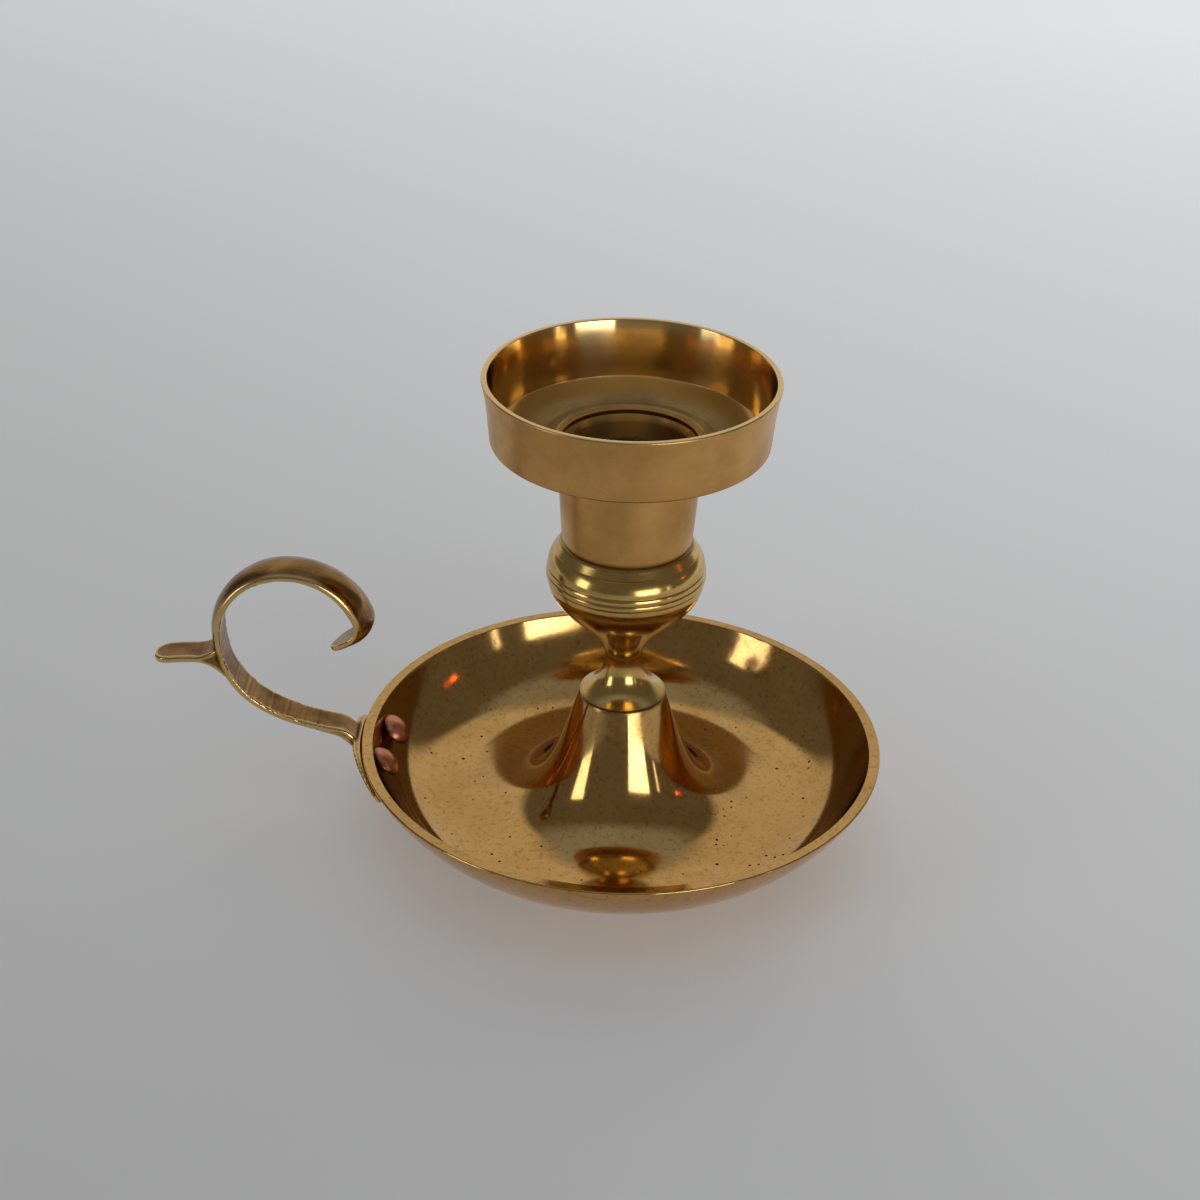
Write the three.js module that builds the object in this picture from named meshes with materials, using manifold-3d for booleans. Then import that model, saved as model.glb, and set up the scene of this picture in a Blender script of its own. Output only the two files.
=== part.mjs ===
// Brass chamberstick: a dish with a riveted scroll handle, and a turned column that carries
// a candle socket in the middle of a drip cup. Millimetres, +Z up, origin at the centre of the
// dish's flat foot. The handle lies along -X.
import * as THREE from 'three';
import { mergeVertices } from 'three/addons/utils/BufferGeometryUtils.js';
import Module from 'manifold-3d';

const wasm = await Module();
wasm.setup();

// Whole height, from the foot to the cup's rim
const overallHeight = 83.95;

// Fits
const clearance = 0.3;

// Pedestal: hollow trumpet on the dish floor, with a foot that runs out thin and flat
const pedestalBaseRadius = 28.5;
const pedestalTopRadius = 7.3;
const pedestalHeight = 21.95;
const pedestalWall = 1.4;
const pedestalHollowRadius = 12.5;
const pedestalTopPlate = 2.6;
const pedestalTopEdge = 0.35;
const pedestalFootEdge = 0.3;
const pedestalNeckPull = [4.1, 13.7];
const pedestalFlarePull = 15;

// Dish: flat foot, one arc up to a flat rim, and inside it a straight wall that turns into a flat floor
const dishRimRadius = 44.5;
const dishHeight = 16;
const dishWall = 1.8;
const dishWallSlope = THREE.MathUtils.degToRad(54);
const dishWallPull = 13;
const dishFloorLevel = 3.65;
const dishFloorPull = 6;
const dishRimEdge = 0.25;
const bowlRadius = 36;
const bowlRimLean = THREE.MathUtils.degToRad(60);

// Tie bolt: countersunk head flush with the dish's underside
const boltRadius = 2;
const boltHeadRadius = 4;
const boltHeadHeight = 2.3;
const boltReach = 5;
const boltTipChamfer = 0.5;

// Stem: flared foot, waist, ogee under the knop, three beads, a bulge and a sloping shoulder
const stemFootRadius = 7.25;
const stemFootEdge = 0.35;
const stemWaistRadius = 3.15;
const stemWaistHeight = 6.4;
const stemFootPull = 3.2;
const stemFootFlare = [2.6, 2.8];
const ogeeHeight = 16.4;
const ogeeTopPull = 4.6;
const ogeeWaistPull = 7.3;
const knopRadius = 13.3;
const beadHeight = 0.85;
const beadRise = 0.3;
const beadCount = 3;
const beadStep = 0.2;
const beadSteps = 4;
const bulgeHeight = 2.3;
const bulgeTopRadius = 11.95;
const bulgeSwell = 0.45;
const shoulderHeight = 1.8;
const shoulderGroove = 0.2;

// Candle socket: tapered tube on a spigot, with a lip rolled over the cup's floor
const socketBaseRadius = 10.7;
const socketMidRadius = 11.3;
const socketMidShare = 0.42;
const socketTopRadius = 11.75;
const socketWall = 0.95;
const socketFloor = 5.4;
const spigotLength = 3;
const lipRadius = 12.4;
const lipThickness = 0.5;
const neckInset = 0.6;

// Drip cup: dished floor and a slightly flared wall
const cupRimRadius = 24;
const cupFootRadius = 22.6;
const cupFlareHeight = 3;
const cupFlareRadius = 23.35;
const cupHeight = 12.1;
const cupWall = 1;
const cupFloor = 1.1;
const cupFloorRise = 1.25;
const cupSeatWidth = 1.8;
const cupFootRound = 0.5;
const cupRimEdge = 0.3;

// Socket screw: pan head on the socket's floor
const screwRadius = 1.5;
const screwHeadRadius = 3.4;
const screwHeadHeight = 1.7;
const screwLength = 12;

// Handle: flat strap bent to a scroll
const ringRadius = 12;
const ringStandoff = 11.7;
const ringLift = 19.4;
const curlRadius = 3.2;
const curlStart = THREE.MathUtils.degToRad(12.7);
const curlEnd = THREE.MathUtils.degToRad(-118);
const armStandoff = 3.9;
const armLift = 0.9;
const armSlope = THREE.MathUtils.degToRad(9);
const armRootPull = 10.2;
const armRingPull = 12.8;
const strapThickness = 1.3;
const strapRootFillet = 1.6;
const strapRootWidth = 5;
const strapTopWidth = 6.9;
const strapEdge = 0.3;
const curlLean = THREE.MathUtils.degToRad(18);
const rootDepth = 5;
const rootPull = 4.4;

// Thumb spur on the outside of the ring
const spurDrop = 5.1;
const spurLength = 11;
const spurArch = 0.7;
const spurTipDrop = 0.5;
const spurWidth = 5.5;
const spurThickness = 1.1;
const spurRootThickness = 4;
const spurFlare = 4.4;

// Leaf-shaped plate bent to the dish wall, and the rivets through both
const plateFrontReach = 17;
const plateRearReach = 14;
const plateTopDrop = 0.5;
const plateDepth = 7.4;
const plateThickness = 1.3;
const plateFrontTipDrop = 1.6;
const plateRearTipDrop = 3.2;
const plateThinning = 9;
const plateTipDepth = 1.4;
const leafShoulderPull = 0.5;
const leafTipPull = 0.6;
const leafBellyPull = 0.4;
const rivetFrontReach = 5.45;
const rivetFrontDrop = 3.5;
const rivetRearReach = 6;
const rivetRearDrop = 4.3;
const rivetRadius = 1.4;
const rivetHeadRadius = 2.9;
const rivetHeadHeight = 1.3;
const rivetTailRadius = 2.2;
const rivetTailHeight = 0.5;

// Facets round each turned piece
const dishFacets = 60;
const columnFacets = 36;
const smallFacets = 20;

// Levels up the column, each standing on the one below
const pedestalBottom = dishFloorLevel;
const pedestalTop = pedestalBottom + pedestalHeight;
const stemBottom = pedestalTop;
const waistLevel = stemBottom + stemWaistHeight;
const knopLevel = waistLevel + ogeeHeight;
const bulgeBottom = knopLevel + beadCount * beadHeight;
const bulgeTop = bulgeBottom + bulgeHeight;
const stemTop = bulgeTop + shoulderHeight;
const cupSeat = overallHeight - cupHeight;
const socketTubeHeight = cupSeat - stemTop;
const cupSeatTop = cupSeat + cupFloor;
const socketFloorTop = stemTop - spigotLength + clearance + socketFloor;

const boltHoleRadius = boltRadius + clearance;
const screwHoleRadius = screwRadius + clearance;
const spigotRadius = socketBaseRadius - socketWall - clearance;

// The dish wall is an arc that leans out by a given angle where it reaches the rim
const bowlRise = dishHeight - dishRimEdge;
const bowlAxisRadius = dishRimRadius - bowlRadius * Math.sin(bowlRimLean);
const bowlAxisLevel = bowlRise + bowlRadius * Math.cos(bowlRimLean);

const brass = { color: 0xb5904a, roughness: 0.22, metalness: 1 };
const satinBrass = { color: 0xa9834a, roughness: 0.35, metalness: 1 };
const castBrass = { color: 0x8a6a36, roughness: 0.45, metalness: 1 };
const copper = { color: 0x9c5540, roughness: 0.25, metalness: 1 };

function point(radius, height) {
  return new THREE.Vector2(radius, height);
}

// Points along a round stretch, first and last included
function arc(centre, radius, from, to, steps) {
  return Array.from({ length: steps + 1 }, (_, i) => {
    const angle = from + ((to - from) * i) / steps;
    return point(centre.x + radius * Math.cos(angle), centre.y + radius * Math.sin(angle));
  });
}

function bezier(start, startPull, endPull, end) {
  return new THREE.CubicBezierCurve(start, startPull, endPull, end);
}

// Points up a low dome, from its rim to its top on the axis
function dome(base, radius, height, steps) {
  const drop = (radius ** 2 - height ** 2) / (2 * height);
  const sphere = drop + height;
  const points = arc(point(0, base - drop), sphere, Math.asin(drop / sphere), Math.PI / 2, steps);
  points.at(-1).x = 0;
  return points;
}

// A turned piece: the profile runs up on the outside, so that its faces point out
function turned(profile, facets) {
  const geometry = new THREE.LatheGeometry(profile, facets);
  geometry.rotateX(Math.PI / 2);
  return geometry;
}

function turnedRing(profile, facets) {
  return turned([...profile, profile[0]], facets);
}

// Closed geometry to a solid that can be cut and joined, and back
function toSolid(geometry) {
  const bare = geometry.clone();
  bare.deleteAttribute('normal');
  bare.deleteAttribute('uv');
  const merged = mergeVertices(bare);
  const corners = merged.index.array;
  const triangles = [];
  for (let i = 0; i < corners.length; i += 3) {
    const [a, b, c] = corners.slice(i, i + 3);
    if (a !== b && b !== c && c !== a) triangles.push(a, b, c);
  }
  return new wasm.Manifold(new wasm.Mesh({
    numProp: 3,
    vertProperties: new Float32Array(merged.attributes.position.array),
    triVerts: new Uint32Array(triangles),
  }));
}

function toGeometry(solid) {
  const mesh = solid.getMesh();
  const geometry = new THREE.BufferGeometry();
  geometry.setAttribute('position', new THREE.BufferAttribute(mesh.vertProperties, 3));
  geometry.setIndex(new THREE.BufferAttribute(mesh.triVerts, 1));
  geometry.computeVertexNormals();
  return geometry;
}

function piece(name, geometry, finish) {
  const mesh = new THREE.Mesh(geometry, new THREE.MeshStandardMaterial(finish));
  mesh.name = name;
  return mesh;
}

// Height on the dish wall to the angle of its arc, counted from straight down
function bowlAngle(height, offset) {
  return Math.acos((bowlAxisLevel - height) / (bowlRadius + offset));
}

// Profile along the dish wall, moved out from its outer face by an offset
function bowlArc(offset, from, to, steps) {
  const centre = point(bowlAxisRadius, bowlAxisLevel);
  const down = -Math.PI / 2;
  return arc(centre, bowlRadius + offset, down + from, down + to, steps);
}

function dishGeometry() {
  const outer = bowlArc(0, bowlAngle(0, 0), bowlAngle(bowlRise, 0), 7);
  const wallTop = bowlArc(-dishWall, bowlAngle(bowlRise, -dishWall), 0, 1)[0];
  const inner = bezier(
    wallTop,
    point(wallTop.x - dishWallPull * Math.cos(dishWallSlope), wallTop.y - dishWallPull * Math.sin(dishWallSlope)),
    point(pedestalBaseRadius + dishFloorPull, dishFloorLevel),
    point(pedestalBaseRadius, dishFloorLevel),
  ).getPoints(12);
  const rimOuter = outer.at(-1).x - dishRimEdge;
  const rimInner = wallTop.x + dishRimEdge;
  return turnedRing([
    point(boltHeadRadius + clearance, 0),
    ...outer,
    point(rimOuter, dishHeight),
    point(rimInner, dishHeight),
    ...inner,
    point(boltHoleRadius, dishFloorLevel),
    point(boltHoleRadius, boltHeadHeight),
  ], dishFacets);
}

function pedestalGeometry() {
  const footTop = pedestalBottom + pedestalFootEdge;
  const outer = bezier(
    point(pedestalTopRadius, pedestalTop - pedestalTopEdge),
    point(pedestalTopRadius + pedestalNeckPull[0], pedestalTop - pedestalNeckPull[1]),
    point(pedestalBaseRadius - pedestalFlarePull, footTop),
    point(pedestalBaseRadius, footTop),
  ).getPoints(14).reverse();
  const ceiling = pedestalTop - pedestalTopPlate;
  return turnedRing([
    point(pedestalBaseRadius, pedestalBottom),
    ...outer,
    point(pedestalTopRadius - pedestalTopEdge, pedestalTop),
    point(boltHoleRadius, pedestalTop),
    point(boltHoleRadius, ceiling),
    point(pedestalTopRadius - pedestalWall, ceiling),
    point(pedestalHollowRadius, pedestalBottom),
  ], columnFacets);
}

// One bead stands on each step of the knop, with a groove between it and the next
function beadProfile(index) {
  const radius = knopRadius - beadRise - index * beadStep;
  const bottom = knopLevel + index * beadHeight;
  return Array.from({ length: beadSteps }, (_, i) => {
    const share = i / beadSteps;
    return point(radius + beadRise * Math.sin(Math.PI * share), bottom + share * beadHeight);
  });
}

function stemGeometry() {
  const boltHoleTop = stemBottom + boltReach + clearance;
  const footTop = stemBottom + stemFootEdge;
  const foot = bezier(
    point(stemFootRadius, footTop),
    point(stemFootRadius - stemFootFlare[0], footTop + stemFootFlare[1]),
    point(stemWaistRadius, waistLevel - stemFootPull),
    point(stemWaistRadius, waistLevel),
  ).getPoints(7);
  const ogeeTopRadius = knopRadius - beadRise;
  const ogee = bezier(
    point(stemWaistRadius, waistLevel),
    point(stemWaistRadius, waistLevel + ogeeWaistPull),
    point(ogeeTopRadius, knopLevel - ogeeTopPull),
    point(ogeeTopRadius, knopLevel),
  ).getPoints(11);
  const beads = Array.from({ length: beadCount }, (_, i) => beadProfile(i)).flat();
  const bulgeFootRadius = knopRadius - beadRise - (beadCount - 1) * beadStep;
  const bulge = new THREE.QuadraticBezierCurve(
    point(bulgeFootRadius, bulgeBottom),
    point((bulgeFootRadius + bulgeTopRadius) / 2 + bulgeSwell, (bulgeBottom + bulgeTop) / 2),
    point(bulgeTopRadius, bulgeTop),
  ).getPoints(5);
  const spigotHoleRadius = spigotRadius + clearance;
  const spigotHoleFloor = stemTop - spigotLength;
  const screwHoleBottom = socketFloorTop - screwLength - clearance;
  return turned([
    point(0, boltHoleTop),
    point(boltHoleRadius, boltHoleTop),
    point(boltHoleRadius, stemBottom),
    point(stemFootRadius - stemFootEdge, stemBottom),
    ...foot,
    ...ogee.slice(1, -1),
    ...beads,
    ...bulge,
    point(bulgeTopRadius - shoulderGroove, bulgeTop + shoulderGroove),
    point(socketBaseRadius + shoulderGroove, stemTop - shoulderGroove),
    point(socketBaseRadius, stemTop),
    point(spigotHoleRadius, stemTop),
    point(spigotHoleRadius, spigotHoleFloor),
    point(screwHoleRadius, spigotHoleFloor),
    point(screwHoleRadius, screwHoleBottom),
    point(0, screwHoleBottom),
  ], columnFacets);
}

function socketGeometry() {
  const neckRadius = socketTopRadius - neckInset;
  const boreTop = socketTopRadius - neckInset - socketWall / 2;
  const boreBottom = socketBaseRadius - socketWall;
  const lipTop = cupSeatTop + lipThickness;
  return turnedRing([
    point(screwHoleRadius, stemTop - spigotLength + clearance),
    point(spigotRadius, stemTop - spigotLength + clearance),
    point(spigotRadius, stemTop),
    point(socketBaseRadius - shoulderGroove, stemTop),
    point(socketBaseRadius, stemTop + shoulderGroove),
    point(socketMidRadius, stemTop + socketMidShare * socketTubeHeight),
    point(socketTopRadius, cupSeat),
    point(neckRadius, cupSeat),
    point(neckRadius, cupSeatTop),
    point(lipRadius, cupSeatTop),
    point(lipRadius, cupSeatTop + lipThickness / 2),
    point(lipRadius - lipThickness / 2, lipTop),
    point((lipRadius + boreTop) / 2, lipTop - lipThickness / 4),
    point(boreTop, cupSeatTop - lipThickness),
    point(boreBottom, socketFloorTop),
    point(screwHoleRadius, socketFloorTop),
  ], columnFacets);
}

function cupGeometry() {
  const holeRadius = socketTopRadius - neckInset + clearance;
  const seatRadius = lipRadius + cupSeatWidth;
  const rim = cupSeat + cupHeight;
  const underside = cupSeat + cupFloorRise;
  const footRound = arc(
    point(cupFootRadius - cupFootRound, underside + cupFootRound), cupFootRound, -Math.PI / 2, 0, 4,
  );
  return turnedRing([
    point(holeRadius, cupSeat),
    point(seatRadius, cupSeat),
    ...footRound,
    point(cupFlareRadius, rim - cupFlareHeight),
    point(cupRimRadius, rim - cupRimEdge),
    point(cupRimRadius - cupRimEdge, rim),
    point(cupRimRadius - cupWall + cupRimEdge, rim),
    point(cupRimRadius - cupWall, rim - cupRimEdge),
    point(cupFlareRadius - cupWall, rim - cupFlareHeight),
    point(cupFootRadius - cupWall, underside + cupFloor),
    point(seatRadius, cupSeatTop),
    point(holeRadius, cupSeatTop),
  ], dishFacets);
}

function boltGeometry() {
  const tip = stemBottom + boltReach;
  return turned([
    point(0, 0),
    point(boltHeadRadius, 0),
    point(boltRadius, boltHeadHeight),
    point(boltRadius, tip - boltTipChamfer),
    point(boltRadius - boltTipChamfer, tip),
    point(0, tip),
  ], smallFacets);
}

function screwGeometry() {
  const headEdge = socketFloorTop + screwHeadHeight / 2;
  return turned([
    point(0, socketFloorTop - screwLength),
    point(screwRadius, socketFloorTop - screwLength),
    point(screwRadius, socketFloorTop),
    point(screwHeadRadius, socketFloorTop),
    ...dome(headEdge, screwHeadRadius, screwHeadHeight / 2, 3),
  ], smallFacets);
}

// Stations along curves that follow each other in the XZ plane: place, direction and distance run
function stations(curves, steps) {
  const list = [];
  let run = 0;
  curves.forEach((curve, c) => {
    for (let i = c === 0 ? 0 : 1; i <= steps[c]; i += 1) {
      const share = i / steps[c];
      list.push({
        place: curve.getPointAt(share),
        along: curve.getTangentAt(share),
        distance: run + share * curve.getLength(),
      });
    }
    run += curve.getLength();
  });
  return { list, length: run };
}

// A flat strap lofted along stations. Its width lies along Y, or turned from it by the lean about
// its front edge, and it reaches out and in from the line by the two amounts that reachAt gives.
function strap({ list, length }, widthAt, reachAt, leanAt = () => 0) {
  const positions = [];
  const ring = 8;
  for (const { place, along, distance } of list) {
    const half = widthAt(distance, length) / 2;
    const { out, inn } = reachAt(distance, length);
    const edge = Math.min(strapEdge, half / 2, (out + inn) / 3);
    const lean = leanAt(distance, length);
    const section = [
      [-half, -inn + edge], [-half + edge, -inn], [half - edge, -inn], [half, -inn + edge],
      [half, out - edge], [half - edge, out], [-half + edge, out], [-half, out - edge],
    ];
    for (const [across, reach] of section) {
      positions.push(
        place.x - along.y * reach + (across + strapTopWidth / 2) * Math.sin(lean),
        across * Math.cos(lean),
        place.y + along.x * reach,
      );
    }
  }
  const index = [];
  const last = list.length - 1;
  for (let i = 0; i < last; i += 1) {
    for (let j = 0; j < ring; j += 1) {
      const a = i * ring + j;
      const b = i * ring + ((j + 1) % ring);
      index.push(a, b, b + ring, a, b + ring, a + ring);
    }
  }
  for (let j = 1; j < ring - 1; j += 1) {
    index.push(0, j + 1, j);
    index.push(last * ring, last * ring + j, last * ring + j + 1);
  }
  const geometry = new THREE.BufferGeometry();
  geometry.setAttribute('position', new THREE.Float32BufferAttribute(positions, 3));
  geometry.setIndex(index);
  return geometry;
}

// Width of a strap whose end is round in plan: full until its last half width
function roundEnd(width, left) {
  const radius = width / 2;
  const blunt = radius / 12;
  const depth = Math.min(left + blunt, radius);
  return 2 * Math.sqrt(radius ** 2 - (radius - depth) ** 2);
}

const ringCentre = point(-(dishRimRadius + ringStandoff), dishHeight + ringLift);

function scrollGeometry() {
  const rootAngle = bowlAngle(dishHeight - rootDepth, 0);
  const rootSeat = bowlArc(clearance + plateThickness / 2, rootAngle, 0, 1)[0];
  const root = point(-rootSeat.x, rootSeat.y);
  const rootAlong = point(-Math.cos(rootAngle), Math.sin(rootAngle));
  const armStart = point(-(dishRimRadius + armStandoff), dishHeight + armLift);
  const ringLeft = point(ringCentre.x - ringRadius, ringCentre.y);
  const armAlong = point(-Math.cos(armSlope), Math.sin(armSlope));
  const bendPull = armStandoff / 2;
  const bend = bezier(
    root,
    root.clone().addScaledVector(rootAlong, rootPull),
    armStart.clone().addScaledVector(armAlong, -bendPull),
    armStart,
  );
  const arm = bezier(
    armStart,
    armStart.clone().addScaledVector(armAlong, armRootPull),
    point(ringLeft.x, ringLeft.y - armRingPull),
    ringLeft,
  );
  const ring = new THREE.EllipseCurve(
    ringCentre.x, ringCentre.y, ringRadius, ringRadius, Math.PI, curlStart, true,
  );
  const curlCentre = point(
    ringCentre.x + (ringRadius - curlRadius) * Math.cos(curlStart),
    ringCentre.y + (ringRadius - curlRadius) * Math.sin(curlStart),
  );
  const curl = new THREE.EllipseCurve(
    curlCentre.x, curlCentre.y, curlRadius, curlRadius, curlStart, curlEnd, true,
  );
  const line = stations([bend, arm, ring, curl], [7, 14, 26, 14]);
  const topDistance = bend.getLength() + arm.getLength() + ring.getLength() / 2;
  const thinDistance = bend.getLength() + armStandoff;
  const widthAt = (distance, length) => {
    const share = Math.min(distance / topDistance, 1);
    const width = strapRootWidth + (strapTopWidth - strapRootWidth) * share;
    return roundEnd(width, length - distance);
  };
  const reachAt = (distance) => {
    const rise = THREE.MathUtils.smoothstep(distance, 0, bend.getLength());
    const fall = Math.max(1 - distance / thinDistance, 0);
    const half = strapThickness / 2;
    return { out: half + strapRootFillet * rise * fall, inn: half };
  };
  const leanAt = (distance, length) => {
    const share = (distance - topDistance) / (length - topDistance);
    return curlLean * Math.max(share, 0);
  };
  return strap(line, widthAt, reachAt, leanAt);
}

function spurGeometry() {
  const level = ringCentre.y - spurDrop;
  const start = point(ringCentre.x - Math.sqrt(ringRadius ** 2 - spurDrop ** 2), level);
  const tip = point(ringCentre.x - ringRadius - spurLength, level - spurTipDrop);
  const line = new THREE.QuadraticBezierCurve(
    start, point((start.x + tip.x) / 2, level + spurArch), tip,
  );
  const widthAt = (distance, length) => roundEnd(spurWidth, length - distance);
  const reachAt = (distance) => {
    const share = Math.max(1 - distance / spurFlare, 0) ** 2;
    const half = spurThickness / 2;
    return { out: half + (spurRootThickness - spurThickness) * share, inn: half };
  };
  return strap(stations([line], [20]), widthAt, reachAt);
}

// The plate is a slice of a shell that follows the dish wall, cut to a leaf. Its outer face turns
// about an axis nearer to the handle, so the plate thins towards both tips.
function plateSolid() {
  const top = dishHeight - plateTopDrop;
  const bottom = top - plateDepth;
  const low = bowlAngle(bottom - plateThickness, 0);
  const high = bowlAngle(dishHeight, 0);
  const inside = bowlArc(clearance, high, low, 8);
  const outside = bowlArc(clearance + plateThickness, low, high, 8);
  const shell = turnedRing([...outside, ...inside], dishFacets);
  const face = turned([
    point(0, outside[0].y),
    ...outside.map((p) => point(p.x - plateThinning, p.y)),
    point(0, outside.at(-1).y),
  ], dishFacets);
  face.translate(-plateThinning, 0, 0);
  const front = -plateFrontReach;
  const rear = plateRearReach;
  const frontTip = top - plateFrontTipDrop;
  const rearTip = top - plateRearTipDrop;
  const shoulder = strapRootWidth / 2 + plateThickness;
  const leaf = new THREE.Shape();
  leaf.moveTo(-shoulder, top);
  leaf.bezierCurveTo(front * leafShoulderPull, top, front * leafTipPull, frontTip, front, frontTip);
  leaf.lineTo(front, frontTip - plateTipDepth);
  leaf.bezierCurveTo(
    front * leafTipPull, frontTip - plateTipDepth, front * leafBellyPull, bottom, 0, bottom,
  );
  leaf.bezierCurveTo(
    rear * leafBellyPull, bottom, rear * leafTipPull, rearTip - plateTipDepth, rear, rearTip - plateTipDepth,
  );
  leaf.lineTo(rear, rearTip);
  leaf.bezierCurveTo(rear * leafTipPull, rearTip, rear * leafShoulderPull, top, shoulder, top);
  leaf.closePath();
  const cutter = new THREE.ExtrudeGeometry(leaf, {
    depth: dishRimRadius, bevelEnabled: false, curveSegments: 6,
  });
  const toSide = new THREE.Matrix4().makeBasis(
    new THREE.Vector3(0, 1, 0), new THREE.Vector3(0, 0, 1), new THREE.Vector3(1, 0, 0),
  );
  cutter.applyMatrix4(toSide);
  cutter.translate(-(dishRimRadius + plateThickness + dishWall) - clearance, 0, 0);
  return toSolid(shell).intersect(toSolid(face)).intersect(toSolid(cutter));
}

// Rivets stand square to the dish wall, one on each side of the handle's plane
function rivetPlace({ reach, drop }) {
  const tilt = bowlAngle(dishHeight - drop, -dishWall);
  const seat = bowlArc(-dishWall, tilt, 0, 1)[0];
  return new THREE.Matrix4()
    .makeRotationZ(-Math.asin(reach / seat.x))
    .multiply(new THREE.Matrix4().makeTranslation(-seat.x, 0, seat.y))
    .multiply(new THREE.Matrix4().makeRotationY(tilt));
}

function rivetGeometry(spot) {
  const sag = rivetHeadRadius ** 2 / (2 * (bowlRadius - dishWall));
  const seat = sag + clearance;
  const tailSeat = -(dishWall + clearance + plateThickness + clearance);
  const tail = dome(0, rivetTailRadius, rivetTailHeight, 3);
  const geometry = turned([
    ...tail.map((p) => point(p.x, tailSeat - p.y)).reverse(),
    point(rivetRadius, tailSeat),
    point(rivetRadius, seat),
    ...dome(seat, rivetHeadRadius, rivetHeadHeight, 5),
  ], smallFacets);
  return geometry.applyMatrix4(rivetPlace(spot));
}

function rivetHole(spot) {
  const depth = 2 * (dishWall + plateThickness + rivetHeadRadius);
  const hole = new THREE.CylinderGeometry(
    rivetRadius + clearance, rivetRadius + clearance, depth, smallFacets,
  );
  hole.rotateX(Math.PI / 2);
  return toSolid(hole.applyMatrix4(rivetPlace(spot)));
}

const frontSpot = { reach: -rivetFrontReach, drop: rivetFrontDrop };
const rearSpot = { reach: rivetRearReach, drop: rivetRearDrop };
const holes = rivetHole(frontSpot).add(rivetHole(rearSpot));
const handleSolid = toSolid(scrollGeometry())
  .add(toSolid(spurGeometry()))
  .add(plateSolid())
  .subtract(holes);
const dishSolid = toSolid(dishGeometry()).subtract(holes);

const group = new THREE.Group();
group.name = 'chamberstick';
group.add(piece('dish', toGeometry(dishSolid), brass));
group.add(piece('pedestal', pedestalGeometry(), brass));
group.add(piece('stem', stemGeometry(), brass));
group.add(piece('candle_socket', socketGeometry(), satinBrass));
group.add(piece('cup', cupGeometry(), satinBrass));
group.add(piece('tie_bolt', boltGeometry(), brass));
group.add(piece('socket_screw', screwGeometry(), brass));
group.add(piece('handle', toGeometry(handleSolid), castBrass));
group.add(piece('rivet_front', rivetGeometry(frontSpot), copper));
group.add(piece('rivet_rear', rivetGeometry(rearSpot), copper));

export default group;
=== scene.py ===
# %% [markdown]
# # A brass chamberstick
# A chamberstick is a candle holder for carrying to bed: a dish that catches the wax, a short
# column with a socket for the candle, and a ring handle for one finger. Every piece here is made
# in metres in the part's own frame, with the column along +Z and the handle along -X, so each one
# goes straight to its place.

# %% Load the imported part
import math

import bmesh
import bpy
from mathutils import Matrix, Vector
from mathutils.geometry import interpolate_bezier


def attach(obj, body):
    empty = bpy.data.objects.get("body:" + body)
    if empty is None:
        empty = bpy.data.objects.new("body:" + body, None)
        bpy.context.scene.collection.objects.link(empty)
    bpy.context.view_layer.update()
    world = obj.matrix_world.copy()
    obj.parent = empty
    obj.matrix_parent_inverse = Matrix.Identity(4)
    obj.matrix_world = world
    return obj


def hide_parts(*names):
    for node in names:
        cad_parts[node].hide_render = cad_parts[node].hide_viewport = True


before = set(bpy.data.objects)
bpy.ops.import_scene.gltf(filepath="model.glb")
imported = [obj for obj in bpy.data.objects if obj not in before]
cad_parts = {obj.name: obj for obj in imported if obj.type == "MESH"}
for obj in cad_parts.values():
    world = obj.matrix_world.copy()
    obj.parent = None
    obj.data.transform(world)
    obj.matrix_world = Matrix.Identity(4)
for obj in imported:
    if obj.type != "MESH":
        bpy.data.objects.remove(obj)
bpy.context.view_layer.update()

MM = 0.001
print("frame holds", len(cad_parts), "nodes")

# %% [markdown]
# ## Outlines
# Most of this object comes off a lathe, so it starts as an outline of radius and height in
# millimetres. The outline could be drawn point by point, but a Bezier or an arc keeps the even sweep
# of a turner's tool. Each sharp corner is softened with a small arc, as a polisher's wheel would.

# %% Points of an outline
CORNER_STEPS = 6


def curve(start, start_pull, end_pull, end, count):
    """Points along a Bezier stretch of an outline, both ends included."""
    ends = [Vector((r, z, 0.0)) for r, z in (start, start_pull, end_pull, end)]
    return [(p.x, p.y) for p in interpolate_bezier(*ends, count)]


def arc(centre, radius, first, last, count):
    """Points along a round stretch, with angles in degrees from the outward direction."""
    steps = [math.radians(first + (last - first) * i / count) for i in range(count + 1)]
    return [(centre[0] + radius * math.cos(a), centre[1] + radius * math.sin(a)) for a in steps]


def soften(outline):
    """Rounds each corner that is given as (radius, height, rounding)."""
    smooth = []
    for i, corner in enumerate(outline):
        if len(corner) == 2:
            smooth.append(corner)
            continue
        here = Vector(corner[:2])
        before = (Vector(outline[i - 1][:2]) - here).normalized()
        after = (Vector(outline[(i + 1) % len(outline)][:2]) - here).normalized()
        half = before.angle(after) / 2
        reach = corner[2] / math.tan(half)
        centre = here + (before + after).normalized() * corner[2] / math.sin(half)
        start = here + before * reach - centre
        turn = start.angle_signed(here + after * reach - centre)
        for k in range(CORNER_STEPS + 1):
            spoke = start.copy()
            spoke.rotate(Matrix.Rotation(-turn * k / CORNER_STEPS, 2))
            smooth.append(tuple(centre + spoke))
    return smooth


print("a softened corner has", CORNER_STEPS, "steps")

# %% [markdown]
# ## Turned pieces
# An outline is spun about Z. A Screw modifier could do that too, but a bmesh spin leaves a plain mesh
# whose faces can be sorted later. Polished metal shows every facet, so the spin has many steps. Its
# last step is merged with its first, points that meet on the axis are merged too, and the normals are
# then turned outwards. Shading is smooth, but corners past 40 degrees stay sharp, and broad faces get
# the most weight, so a flat rim stays flat to the eye.

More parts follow.
